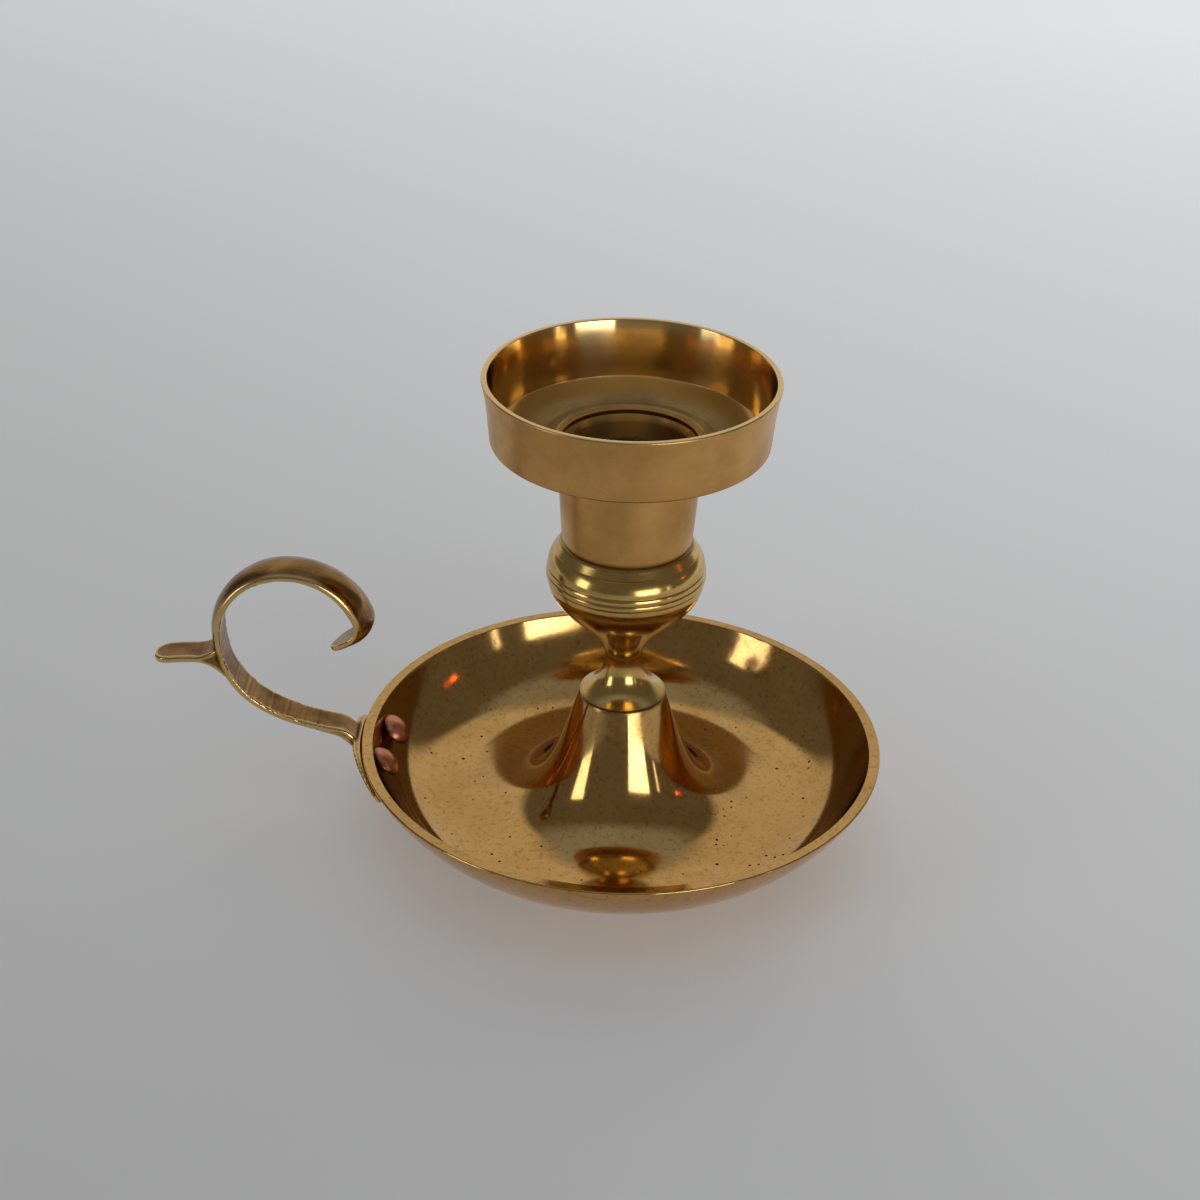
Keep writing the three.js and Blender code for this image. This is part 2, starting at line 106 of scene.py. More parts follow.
# %% Spin an outline
SPIN_STEPS = 224
MERGE = 1e-7  # metres
SHARP_TURN = math.radians(40)


def piece_from(bm, name):
    """Turns a finished bmesh into a smooth-shaded object at the origin."""
    mesh = bpy.data.meshes.new(name)
    bm.to_mesh(mesh)
    bm.free()
    mesh.shade_smooth()
    piece = bpy.data.objects.new(name, mesh)
    bpy.context.collection.objects.link(piece)
    return piece


def spin_outline(outline, closed, steps):
    """Spins an outline in millimetres about Z."""
    bm = bmesh.new()
    verts = [bm.verts.new((r * MM, 0.0, z * MM)) for r, z in outline]
    ends = verts[1:] + verts[:1] if closed else verts[1:]
    edges = [bm.edges.new(pair) for pair in zip(verts, ends)]
    bmesh.ops.spin(bm, geom=verts + edges, cent=(0, 0, 0), axis=(0, 0, 1),
                   angle=math.tau, steps=steps, use_merge=True)
    bmesh.ops.remove_doubles(bm, verts=bm.verts, dist=MERGE)
    bmesh.ops.recalc_face_normals(bm, faces=bm.faces)
    return bm


def turned(name, outline, closed=True, steps=SPIN_STEPS):
    """A turned piece. An outline that isn't closed starts and ends on the axis."""
    piece = piece_from(spin_outline(soften(outline), closed, steps), name)
    piece.data.set_sharp_from_angle(angle=SHARP_TURN)
    even = piece.modifiers.new("even_shading", "WEIGHTED_NORMAL")
    even.keep_sharp = True
    print(name, "has", len(piece.data.polygons), "faces")
    return piece


print("a spin has", SPIN_STEPS, "steps unless a piece asks for others")

# %% [markdown]
# ## The dish
# The dish is a turned casting: a flat foot, one round sweep up to a rim that was filed flat, and a
# flat floor. The outside is an arc. The inside could be a smaller arc, but the wall is polished, and
# its slope decides what it mirrors. So it is one Bezier that falls steeply from the rim and rounds
# into the floor: windows then show near the rim, and the dim side of the room below them. Under the
# pedestal the floor lies 0.1 mm lower, so that no two faces share a plane.

# %% Bowl of the dish
DISH_RIM = 44.5
DISH_HEIGHT = 16.0
RIM_EDGE = 0.25
BOWL = 29.8
BOWL_LEAN = math.radians(63.0)
BOWL_CENTRE = (DISH_RIM - BOWL * math.sin(BOWL_LEAN),
               DISH_HEIGHT - RIM_EDGE + BOWL * math.cos(BOWL_LEAN))


def bowl_angle(height, offset=0.0):
    """Angle on the bowl's arc, from straight down, at a height in millimetres."""
    return math.degrees(math.acos((BOWL_CENTRE[1] - height) / (BOWL + offset)))


def bowl_point(offset, angle):
    """(radius, height) on the bowl, moved out from its outer face."""
    turn = math.radians(angle)
    reach = BOWL + offset
    return (BOWL_CENTRE[0] + reach * math.sin(turn), BOWL_CENTRE[1] - reach * math.cos(turn))


print("the bowl's arc is centred at radius %.1f and height %.1f mm" % BOWL_CENTRE)

# %% Dish
DISH_WALL = 1.8
DISH_FLOOR = 3.65
DISH_STEPS = 320
FLOOR_RADIUS = 28.5
FLOOR_PULL = 7.4
SEAT_RELIEF = 0.1
WALL_START = 0.5
WALL_PULL = 8.2
WALL_SLOPE = math.radians(67.5)
BOLT_HEAD = 4.0
BOLT_DEPTH = 2.3
BOLT_HOLE = 2.3
HEAD_ROOM = 0.3

foot_radius = bowl_point(0.0, bowl_angle(0.0))[0]
rim_inner = bowl_point(-DISH_WALL, bowl_angle(DISH_HEIGHT, -DISH_WALL))[0]
rim_outer = bowl_point(0.0, bowl_angle(DISH_HEIGHT - 0.05))[0]
wall_top = (rim_inner - WALL_START / math.tan(WALL_SLOPE), DISH_HEIGHT - WALL_START)
wall_pull = (wall_top[0] - WALL_PULL * math.cos(WALL_SLOPE),
             wall_top[1] - WALL_PULL * math.sin(WALL_SLOPE))
dish_outline = [(BOLT_HOLE, BOLT_DEPTH), (BOLT_HEAD + HEAD_ROOM, 0.0, 0.1), (foot_radius, 0.0, 0.6)]
dish_outline += arc(BOWL_CENTRE, BOWL, bowl_angle(0.5) - 90, bowl_angle(DISH_HEIGHT - 0.5) - 90, 40)
dish_outline += [(rim_outer - 0.06, DISH_HEIGHT, 0.28), (rim_inner, DISH_HEIGHT, 0.22)]
dish_outline += curve(wall_top, wall_pull, (FLOOR_RADIUS + FLOOR_PULL, DISH_FLOOR),
                      (FLOOR_RADIUS, DISH_FLOOR), 72)
dish_outline += [(FLOOR_RADIUS, DISH_FLOOR - SEAT_RELIEF), (BOLT_HOLE, DISH_FLOOR - SEAT_RELIEF)]
dish = turned("polished_dish", dish_outline, steps=DISH_STEPS)

# %% [markdown]
# ## The pedestal
# A hollow trumpet stands on the dish floor, and its foot runs out so thin that floor and foot look
# like one surface. It could be a cone with a rounded foot, but a mirror shows each change of curve,
# so its outline is one Bezier from neck to foot. It has as many steps round as the dish.

# %% Pedestal
PED_BASE = 28.5
PED_NECK = 7.3
PED_TOP = 25.6
PED_CEILING = 23.0
PED_HOLLOW = 12.5
NECK_FLARE = 4.1
NECK_DROP = 13.7
FOOT_RUN = 15.0

pedestal_outline = curve((PED_NECK, PED_TOP - 0.3), (PED_NECK + NECK_FLARE, PED_TOP - NECK_DROP),
                         (PED_BASE - FOOT_RUN, DISH_FLOOR), (PED_BASE, DISH_FLOOR), 96)[::-1]
pedestal_outline += [(PED_NECK - 0.1, PED_TOP, 0.3), (BOLT_HOLE, PED_TOP), (BOLT_HOLE, PED_CEILING)]
pedestal_outline += [(PED_NECK - 1.4, PED_CEILING, 0.5), (PED_HOLLOW, DISH_FLOOR)]
pedestal = turned("trumpet_pedestal", pedestal_outline, steps=DISH_STEPS)

# %% [markdown]
# ## The stem
# The baluster is turned from bar: a flared foot, a thin waist, a swelling knop with two shallow bands
# between fine grooves, a bulge and a sloping shoulder that carries the socket. A groove is only a
# tenth of a millimetre deep, yet on polished metal it reads as a crisp line, so it is cut in the
# outline and not painted by a material.

# %% Bands of the knop
KNOP = 13.3
KNOP_UNDER = KNOP - 0.3
KNOP_LEVEL = 48.4
BULGE_LEVEL = 50.6
BAND_EDGE = KNOP_LEVEL + 1.1
BAND_STEPS = 12
BAND_SWELL = 0.07
GROOVE = 0.14


def band(low, high, radius, top_radius):
    """A shallow band of the knop, with a fine groove cut at its top."""
    face = []
    for k in range(BAND_STEPS + 1):
        lean = radius + (top_radius - radius) * k / BAND_STEPS
        swell = BAND_SWELL * math.sin(math.pi * k / BAND_STEPS)
        face.append((lean + swell, low + (high - low - 2 * GROOVE) * k / BAND_STEPS))
    return face + [(top_radius - GROOVE, high - GROOVE)]


bands = band(KNOP_LEVEL, BAND_EDGE, KNOP - 0.1, KNOP - 0.14)
bands += band(BAND_EDGE, BULGE_LEVEL, KNOP - 0.16, KNOP - 0.28)
print("the two bands have", len(bands), "points")

# %% Stem
FOOT = 7.25
WAIST = 3.15
WAIST_LEVEL = 33.0
BULGE_TOP = 53.25
STEM_TOP = 55.05
BOLT_HOLE_TOP = 30.9
SPIGOT_HOLE = 9.75
SPIGOT_FLOOR = STEM_TOP - 3.0
SCREW_HOLE = 1.8
SCREW_HOLE_FOOT = 45.4

stem_outline = [(0.0, BOLT_HOLE_TOP), (BOLT_HOLE, BOLT_HOLE_TOP), (BOLT_HOLE, PED_TOP)]
stem_outline += [(FOOT - 0.05, PED_TOP, 0.2)]
stem_outline += curve((FOOT, PED_TOP + 0.4), (5.6, PED_TOP + 1.4), (WAIST, WAIST_LEVEL - 4.8),
                      (WAIST, WAIST_LEVEL), 32)
stem_outline += curve((WAIST, WAIST_LEVEL), (WAIST, WAIST_LEVEL + 5.4), (KNOP_UNDER, KNOP_LEVEL - 6.0),
                      (KNOP_UNDER, KNOP_LEVEL - 0.3), 48)[1:]
stem_outline += [(KNOP_UNDER - GROOVE, KNOP_LEVEL - GROOVE)] + bands
stem_outline += curve((KNOP - 0.3, BULGE_LEVEL), (KNOP - 0.34, BULGE_LEVEL + 1.0),
                      (12.5, BULGE_TOP - 0.75), (11.95, BULGE_TOP), 20)
stem_outline += [(11.78, BULGE_TOP + 0.1, 0.08), (11.1, STEM_TOP - 0.5, 0.3)]
stem_outline += [(10.86, STEM_TOP - 0.18, 0.05), (10.62, STEM_TOP)]
stem_outline += [(SPIGOT_HOLE, STEM_TOP), (SPIGOT_HOLE, SPIGOT_FLOOR), (SCREW_HOLE, SPIGOT_FLOOR)]
stem_outline += [(SCREW_HOLE, SCREW_HOLE_FOOT), (0.0, SCREW_HOLE_FOOT)]
stem = turned("baluster_stem", stem_outline, closed=False)

# %% [markdown]
# ## The candle socket
# A tapered tube with a spigot below, pressed into the knop. Its mouth is rolled out to a thin, flared
# lip over the floor of the cup, which holds the cup for good. The lip is two short Bezier stretches,
# as a rolled edge has no corner to soften.

# %% Candle socket
CUP_SEAT = 71.85
SEAT_TOP = 72.95
SEAT_NECK = 11.15
LIP = 12.4
SPIGOT = 9.45
SPIGOT_FOOT = 52.35
SOCKET_FOOT = 10.7
SOCKET_FLOOR = 57.75
BORE_FOOT = 9.75

socket_outline = [(SCREW_HOLE, SPIGOT_FOOT), (SPIGOT, SPIGOT_FOOT), (SPIGOT, STEM_TOP)]
socket_outline += [(SOCKET_FOOT - 0.2, STEM_TOP, 0.08)]
socket_outline += curve((SOCKET_FOOT, STEM_TOP + 0.3), (11.0, STEM_TOP + 3.4), (11.4, STEM_TOP + 10.0),
                        (11.75, CUP_SEAT), 20)
socket_outline += [(SEAT_NECK, CUP_SEAT), (SEAT_NECK, SEAT_TOP)]
socket_outline += [(LIP - 0.05, SEAT_TOP + 0.01, 0.02), (LIP, SEAT_TOP + 0.12)]
socket_outline += curve((LIP - 0.01, SEAT_TOP + 0.16), (LIP - 0.02, SEAT_TOP + 0.34),
                        (12.3, SEAT_TOP + 0.42), (12.18, SEAT_TOP + 0.4), 6)
socket_outline += curve((12.1, SEAT_TOP + 0.34), (11.5, SEAT_TOP - 0.25), (10.8, SEAT_TOP - 0.85),
                        (10.66, SEAT_TOP - 2.0), 16)
socket_outline += [(BORE_FOOT, SOCKET_FLOOR, 0.4), (SCREW_HOLE, SOCKET_FLOOR)]
socket = turned("candle_tube", socket_outline)

# %% [markdown]
# ## The drip cup
# A shallow cup catches what runs down the candle. Its wall leans out and flares a little at the rim,
# and its floor is dished so that wax runs to the middle. A Solidify modifier could give the wall its
# thickness, but inside and outside are drawn apart, as the corner inside is sharper than outside.

# %% Drip cup
CUP_RIM = 24.0
CUP_TOP = 83.95
CUP_WALL = 1.0
CUP_FOOT = 22.6
CUP_UNDER = 73.1
CUP_HOLE = 11.45
CUP_WELL = 14.2
WELL_ROUND = 2.0
FLARE_LOW = 77.0
FLARE_HIGH = 80.0

cup_outline = [(CUP_HOLE, CUP_SEAT, 0.1), (CUP_WELL, CUP_SEAT, WELL_ROUND)]
cup_outline += [(CUP_FOOT - 0.02, CUP_UNDER, 0.5)]
cup_outline += curve((CUP_FOOT + 0.05, CUP_UNDER + 0.9), (22.95, FLARE_LOW), (23.1, FLARE_HIGH),
                     (23.75, CUP_TOP - 1.2), 20)
cup_outline += [(CUP_RIM, CUP_TOP, 0.3), (CUP_RIM - CUP_WALL, CUP_TOP, 0.28)]
cup_outline += curve((22.7, CUP_TOP - 1.3), (22.1, FLARE_HIGH), (21.9, FLARE_LOW),
                     (21.6, CUP_UNDER + 1.35), 20)
cup_outline += [(21.55, CUP_UNDER + 1.1, 0.12), (CUP_WELL, SEAT_TOP, WELL_ROUND)]
cup_outline += [(CUP_HOLE, SEAT_TOP, 0.1)]
cup = turned("drip_cup", cup_outline, steps=256)

# %% [markdown]
# ## The scroll handle
# The handle was cast flat and bent: a strap leaves the dish wall, swings up into a finger ring and
# ends in a small curl. Its line lies in the XZ plane and is two Bezier stretches and two arcs. The
# line is measured along its length, so that any distance along it gives a place and a direction.

# %% Measured lines
LOOK_ROUND = 0.5


def measured(points):
    """Pairs of distance run and place along a line of points."""
    run = 0.0
    line = [(0.0, Vector(points[0]))]
    for before, after in zip(points, points[1:]):
        step = (Vector(after) - Vector(before)).length
        if step > 1e-6:
            run += step
            line.append((run, Vector(after)))
    return line


def spot_on(line, distance):
    """Place at a distance along a measured line, run on straight past its ends."""
    for (low, start), (high, end) in zip(line, line[1:]):
        if distance <= high:
            break
    return start + (end - start).normalized() * (distance - low)


def place_on(line, distance):
    """Place and smooth direction at a distance along a measured line."""
    along = spot_on(line, distance + LOOK_ROUND) - spot_on(line, distance - LOOK_ROUND)
    return spot_on(line, distance), along.normalized()


def moved(point, way, length):
    """A point moved along a direction."""
    return (point[0] + length * way[0], point[1] + length * way[1])


print("directions are taken over", 2 * LOOK_ROUND, "mm of a line")

# %% Line of the strap
RING = 12.0
RING_CENTRE = (-(DISH_RIM + 11.7), DISH_HEIGHT + 19.4)
CURL = 2.8
CURL_START = 12.7
CURL_END = -64.0
CURL_TAIL = 4.2
PLATE_GAP = 0.3
PLATE = 1.3
ROOT_DROP = 5.0
ROOT_PULL = 4.4
BEND_PULL = 1.95
ARM_PULL = 10.2
ARM_SLOPE = math.radians(9.0)
RING_PULL = 12.8

root_angle = bowl_angle(DISH_HEIGHT - ROOT_DROP)
root_radius, root_level = bowl_point(PLATE_GAP + PLATE / 2, root_angle)
root = (-root_radius, root_level)
up_wall = (-math.cos(math.radians(root_angle)), math.sin(math.radians(root_angle)))
arm_start = (-(DISH_RIM + 3.9), DISH_HEIGHT + 0.9)
arm_way = (-math.cos(ARM_SLOPE), math.sin(ARM_SLOPE))
ring_left = (RING_CENTRE[0] - RING, RING_CENTRE[1])
bend = curve(root, moved(root, up_wall, ROOT_PULL), moved(arm_start, arm_way, -BEND_PULL), arm_start, 24)
arm = curve(arm_start, moved(arm_start, arm_way, ARM_PULL), moved(ring_left, (0, -1), RING_PULL),
            ring_left, 60)
ring = arc(RING_CENTRE, RING, 180, CURL_START, 120)
curl_turn = math.radians(CURL_START)
curl_centre = moved(RING_CENTRE, (math.cos(curl_turn), math.sin(curl_turn)), RING - CURL)
curl = arc(curl_centre, CURL, CURL_START, CURL_END, 60)
tail_turn = math.radians(CURL_END)
curl.append(moved(curl[-1], (math.sin(tail_turn), -math.cos(tail_turn)), CURL_TAIL))
strap_line = measured(bend + arm + ring + curl)
strap_run = strap_line[-1][0]
bend_run = measured(bend)[-1][0]
top_run = measured(bend + arm)[-1][0] + RING * math.radians(180 - CURL_START) / 2
print("the strap is %.1f mm long" % strap_run)

# %% [markdown]
# ### Strap and spur
# The strap is narrow at its root, widens over the ring, is crowned on its outer face and ends round,
# and the curl is twisted a little to one side. A curve with a bevel could make a strap, but with one
# section all along. So a small section is extruded along a straight bar, station by station, and every
# vertex of the bar is then moved to its place on the line. The thumb spur is made in the same way.

# %% A straight bar
CORNER = 0.6
STATION = 0.4
CORNER_SEGMENTS = 4
SIDE_CUTS = 7
BLUNT = 1 / 12


def bar(length):
    """A straight bar in steps of one station: a rounded square section, extruded again and again."""
    bm = bmesh.new()
    corners = [bm.verts.new((0.0, u, v)) for u, v in ((-1, -1), (1, -1), (1, 1), (-1, 1))]
    bm.faces.new(corners)
    bmesh.ops.bevel(bm, geom=corners, offset=1.0 - CORNER, affect="VERTICES",
                    segments=CORNER_SEGMENTS, profile=0.5, material=-1)
    long_sides = [edge for edge in bm.edges if edge.calc_length() > 1.0]
    bmesh.ops.subdivide_edges(bm, edges=long_sides, cuts=SIDE_CUTS)
    bm.faces.ensure_lookup_table()
    end = bm.faces[0]
    for station in range(math.ceil(length / STATION)):
        grown = bmesh.ops.extrude_face_region(bm, geom=[end])["geom"]
        end = next(part for part in grown if isinstance(part, bmesh.types.BMFace))
        bmesh.ops.translate(bm, verts=list(end.verts), vec=(1.0, 0.0, 0.0))
    return bm


def across(unit, half, edge):
    """Spreads a unit section to its real half width, with corners of an even radius."""
    if abs(unit) <= CORNER:
        return unit / CORNER * (half - edge)
    return math.copysign(half - edge + edge * (abs(unit) - CORNER) / (1 - CORNER), unit)


def round_end(width, left, run):
    """Width of a strip whose end is round: full until this last run of it, and blunt at the tip."""
    share = 1 - min(left / run + BLUNT, 1.0)
    return width * math.sqrt(1 - share ** 2)


def smoothstep(value, low, high):
    """Share from 0 to 1 that starts and ends level."""
    share = min(max((value - low) / (high - low), 0.0), 1.0)
    return share * share * (3 - 2 * share)


print("a bar has a station each", STATION, "mm")

# %% Strap
STRAP = 1.3
STRAP_WIDTH = 5.0
STRAP_WIDENING = 2.4
STRAP_END = 2.6
STRAP_EDGE = 0.42
STRAP_FACE = 0.55
CROWN = 0.95
FILLET = 1.6
FILLET_RUN = 3.9
CURL_LEAN = math.radians(21.0)
LEAN_SHIFT = 3.45


def strap_point(station, u, v):
    """Place of one vertex of the bar on the bent strap. Its outer face has v above 0."""
    distance = min(station * STATION, strap_run)
    place, along = place_on(strap_line, distance)
    full = STRAP_WIDTH + STRAP_WIDENING * min(distance / top_run, 1.0)
    width = round_end(full, strap_run - distance, STRAP_END)
    side = across(u, width / 2, min(STRAP_EDGE, width / 4))
    half = STRAP / 2
    crown = 0.0
    if v > 0:
        fade = max(1 - distance / (bend_run + FILLET_RUN), 0)
        half += FILLET * smoothstep(distance, 0, bend_run) * fade + STRAP_FACE
        crown = CROWN * (2 * side / width) ** 2
    reach = across(v, half, min(STRAP_EDGE, half / 1.5)) - crown
    lean = CURL_LEAN * max((distance - top_run) / (strap_run - top_run), 0.0)
    x = place.x - along.y * reach + (side + LEAN_SHIFT) * math.sin(lean)
    return Vector((x, side * math.cos(lean), place.y + along.x * reach)) * MM


strap = bar(strap_run)
for vert in strap.verts:
    vert.co = strap_point(*vert.co)
print("strap has", len(strap.faces), "faces")

# %% Spur
SPUR = 1.2
SPUR_DROP = 5.1
SPUR_REACH = 11.0
SPUR_WIDTH = 5.5
SPUR_END = 2.75
SPUR_EDGE = 0.35
ROOT_WIDENING = 0.6
ROOT_RUN = 6.0
FLARE_ABOVE = 2.2
FLARE_BELOW = 3.4
FLARE_RUN = 5.0
JOINT_RUN = 3.0

spur_level = RING_CENTRE[1] - SPUR_DROP
spur_start = (RING_CENTRE[0] - math.sqrt(RING ** 2 - SPUR_DROP ** 2), spur_level)
spur_tip = (RING_CENTRE[0] - RING - SPUR_REACH, spur_level - 0.5)
spur_pull = Vector(((spur_start[0] + spur_tip[0]) / 2, spur_level + 0.7))
spur_line = measured(curve(spur_start, tuple(Vector(spur_start).lerp(spur_pull, 2 / 3)),
                           tuple(Vector(spur_tip).lerp(spur_pull, 2 / 3)), spur_tip, 40))
spur_run = spur_line[-1][0]


def spur_point(station, u, v):
    """Place of one vertex of the bar on the spur. Near its root it stays outside the strap's middle."""
    distance = min(station * STATION, spur_run)
    place, along = place_on(spur_line, distance)
    full = SPUR_WIDTH + ROOT_WIDENING * max(1 - distance / ROOT_RUN, 0.0)
    width = round_end(full, spur_run - distance, SPUR_END)
    side = across(u, width / 2, min(SPUR_EDGE, width / 4))
    flare = FLARE_ABOVE if v > 0 else FLARE_BELOW
    half = SPUR / 2 + flare * max(1 - distance / FLARE_RUN, 0.0) ** 2
    reach = across(v, half, min(SPUR_EDGE, half / 1.5))
    spot = Vector((place.x - along.y * reach, place.y + along.x * reach))
    if distance < JOINT_RUN:
        near = min(strap_line, key=lambda step: (step[1] - spot).length)
        centre, way = place_on(strap_line, near[0])
        outward = Vector((-way.y, way.x))
        spot -= outward * min((spot - centre).dot(outward), 0.0)
    return Vector((spot.x, side, spot.y)) * MM


spur = bar(spur_run)
for vert in spur.verts:
    vert.co = spur_point(*vert.co)
print("spur is %.1f mm long and has %d faces" % (spur_run, len(spur.faces)))

# %% [markdown]
# ### The riveting plate
# The root of the strap spreads into a leaf that hugs the dish wall. It could be cut from a copy of the
# dish, but a flat grid is easier to shape: it takes the leaf's outline, is laid on the bowl 0.3 mm off
# its outer face, and is extruded to a thickness that runs out towards both tips.

# %% Outline of the leaf
LEAF_TOP = DISH_HEIGHT - 0.5
LEAF_BOTTOM = LEAF_TOP - 7.4
LEAF_FRONT = -17.0
LEAF_REAR = 14.0
SHOULDER = 3.8
TIP_FRONT = LEAF_TOP - 1.6
TIP_REAR = LEAF_TOP - 3.2
TIP_DEPTH = 1.4


def leaf_edge(reach, tip, start, level, first_pull):
    """Points from the middle of the leaf to one tip, as (reach along Y, height)."""
    return curve((start, level), (reach * first_pull, level), (reach * 0.6, tip), (reach, tip), 24)


leaf_upper = leaf_edge(LEAF_FRONT, TIP_FRONT, -SHOULDER, LEAF_TOP, 0.5)[::-1]
leaf_upper += leaf_edge(LEAF_REAR, TIP_REAR, SHOULDER, LEAF_TOP, 0.5)
leaf_lower = leaf_edge(LEAF_FRONT, TIP_FRONT - TIP_DEPTH, 0.0, LEAF_BOTTOM, 0.4)[::-1]
leaf_lower += leaf_edge(LEAF_REAR, TIP_REAR - TIP_DEPTH, 0.0, LEAF_BOTTOM, 0.4)
print("the leaf is", LEAF_REAR - LEAF_FRONT, "mm from tip to tip")

# %% Plate
LEAF_THIN = 9.0
LEAF_COLUMNS = 96
LEAF_ROWS = 18


def level_at(edge, reach):
    """Height of a leaf edge at a reach along Y."""
    for (y0, z0), (y1, z1) in zip(edge, edge[1:]):
        if y0 <= reach <= y1 and y1 > y0:
            return z0 + (z1 - z0) * (reach - y0) / (y1 - y0)
    return edge[0][1] if reach < edge[0][0] else edge[-1][1]


def leaf_point(u, v, outside):
    """Place of one vertex of the grid. The outside turns about a nearer centre, so it thins."""
    reach = LEAF_FRONT + (LEAF_REAR - LEAF_FRONT) * (u + 1) / 2
    low = level_at(leaf_lower, reach)
    level = low + (level_at(leaf_upper, reach) - low) * (v + 1) / 2
    offset = PLATE_GAP + (PLATE if outside else 0.0)
    radius = bowl_point(offset, bowl_angle(level, offset))[0]
    turn = LEAF_THIN if outside else 0.0
    return Vector((-turn - math.sqrt((radius - turn) ** 2 - reach ** 2), reach, level)) * MM


leaf = bmesh.new()
bmesh.ops.create_grid(leaf, x_segments=LEAF_COLUMNS, y_segments=LEAF_ROWS, size=1.0)
inner_side = list(leaf.verts)
grown = bmesh.ops.extrude_face_region(leaf, geom=list(leaf.faces), use_keep_orig=True)["geom"]
outer_side = [part for part in grown if isinstance(part, bmesh.types.BMVert)]
for side, outside in ((inner_side, False), (outer_side, True)):
    for vert in side:
        vert.co = leaf_point(vert.co.x, vert.co.y, outside)
print("leaf has", len(leaf.faces), "faces")

# %% [markdown]
# ### One casting
# Strap, spur and leaf left the mould as one piece with soft inner corners. A Boolean would join them
# with sharp ones, so a voxel remesh joins them and a few rounds of smoothing soften every corner.

# %% One casting
VOXEL = 0.19
SMOOTHINGS = 4


def settled(piece):
    """Applies a piece's modifiers to its mesh."""
    view = bpy.context.evaluated_depsgraph_get()
    mesh = bpy.data.meshes.new_from_object(piece.evaluated_get(view))
    piece.modifiers.clear()
    old = piece.data
    piece.data = mesh
    bpy.data.meshes.remove(old)


casting = bmesh.new()
for part in (strap, spur, leaf):
    bmesh.ops.recalc_face_normals(part, faces=part.faces)
    loose = bpy.data.meshes.new("loose")
    part.to_mesh(loose)
    part.free()
    casting.from_mesh(loose)
    bpy.data.meshes.remove(loose)
handle = piece_from(casting, "scroll_handle")
join = handle.modifiers.new("join", "REMESH")
join.mode = "VOXEL"
join.voxel_size = VOXEL * MM
settled(handle)
soft = bmesh.new()
soft.from_mesh(handle.data)
for turn in range(SMOOTHINGS):
    bmesh.ops.smooth_vert(soft, verts=soft.verts, factor=0.5,
                          use_axis_x=True, use_axis_y=True, use_axis_z=True)
print("scroll_handle has", len(soft.faces), "faces")

# %% [markdown]
# ### Wear and painted shade
# Hands rub the raised edges of the casting bright and leave its inner corners brown with tarnish,
# and these corners are painted darker still as shade. Cycles can tell the two apart by Pointiness, but
# only while it renders. Here, how far a vertex stands out from the middle of its neighbours is kept as
# an attribute, spread a few times so that it fades.

# %% Wear and painted shade
BULGE_UNIT = 0.01
BULGE_SPREADS = 6


def beside(vert):
    """The neighbours of a vertex."""
    return [edge.other_vert(vert) for edge in vert.link_edges]


wear_and_shade = soft.verts.layers.float.new("wear_and_shade")
soft.normal_update()
for vert in soft.verts:
    near = beside(vert)
    middle = sum((other.co for other in near), Vector()) / len(near)
    vert[wear_and_shade] = (vert.co - middle).dot(vert.normal) / (BULGE_UNIT * MM)
for turn in range(BULGE_SPREADS):
    spread = [sum(other[wear_and_shade] for other in beside(vert)) / len(vert.link_edges) for vert in soft.verts]
    for vert, value in zip(soft.verts, spread):
        vert[wear_and_shade] = (vert[wear_and_shade] + value) / 2
bulge_values = [vert[wear_and_shade] for vert in soft.verts]
soft.to_mesh(handle.data)
soft.free()
handle.data.shade_smooth()
print("wear runs from %.2f to %.2f" % (min(bulge_values), max(bulge_values)))

# %% [markdown]
# ## The rivets
# Two copper rivets pass through wall and plate. Each is a spun outline with a low domed head inside
# the dish, a shank, and a flattened tail behind the plate. The rivet is tilted by the bowl's angle,
# less 5 degrees, as the hammer left the heads looking up a little, and turned round to its place. How
# near a vertex is to the rim of the head is kept as an attribute, for the dirt there.

# %% Rivets
RIVET_HEAD = 2.9
RIVET_RISE = 1.6
RIVET_SHANK = 1.4
RIVET_TAIL = 2.2
RIVET_WALL = 1.8
RIVET_LEAN = -5.0
SMALL_STEPS = 96


def dome(base, radius, height, count):
    """Points from the rim of a low dome to its top."""
    drop = (radius ** 2 - height ** 2) / (2 * height)
    first = math.degrees(math.asin(drop / (drop + height)))
    return arc((0.0, base - drop), drop + height, first, 90, count)


def rivet(name, reach, drop):
    """A rivet at a reach along Y and a drop below the rim."""
    seat = RIVET_HEAD ** 2 / (2 * (BOWL - RIVET_WALL)) + 0.05
    tail = -(RIVET_WALL + PLATE_GAP + PLATE + 0.05)
    outline = [(r, tail - z) for r, z in dome(0.15, RIVET_TAIL, 0.5, 12)][::-1]
    outline += [(RIVET_TAIL, tail, 0.06), (RIVET_SHANK, tail), (RIVET_SHANK, seat)]
    outline += [(RIVET_HEAD - 0.02, seat, 0.1)]
    outline += dome(seat + 0.2, RIVET_HEAD, RIVET_RISE, 24)
    outline[0] = (0.0, outline[0][1])
    outline[-1] = (0.0, outline[-1][1])
    bm = spin_outline(soften(outline), False, SMALL_STEPS)
    rim_share = bm.verts.layers.float.new("rim_share")
    for vert in bm.verts:
        vert[rim_share] = math.hypot(vert.co.x, vert.co.y) / (RIVET_HEAD * MM)
    tilt = bowl_angle(DISH_HEIGHT - drop, -RIVET_WALL)
    wall = bowl_point(-RIVET_WALL, tilt)
    lay = Matrix.Rotation(math.radians(tilt + RIVET_LEAN), 4, "Y")
    shift = Matrix.Translation((-wall[0] * MM, 0, wall[1] * MM))
    turn = Matrix.Rotation(-math.asin(reach / wall[0]), 4, "Z")
    bmesh.ops.transform(bm, matrix=turn @ shift @ lay, verts=bm.verts)
    piece = piece_from(bm, name)
    print(name, "has", len(piece.data.polygons), "faces")
    return piece


rivet_front = rivet("copper_rivet_front", -5.45, 3.1)
rivet_rear = rivet("copper_rivet_rear", 6.0, 3.9)

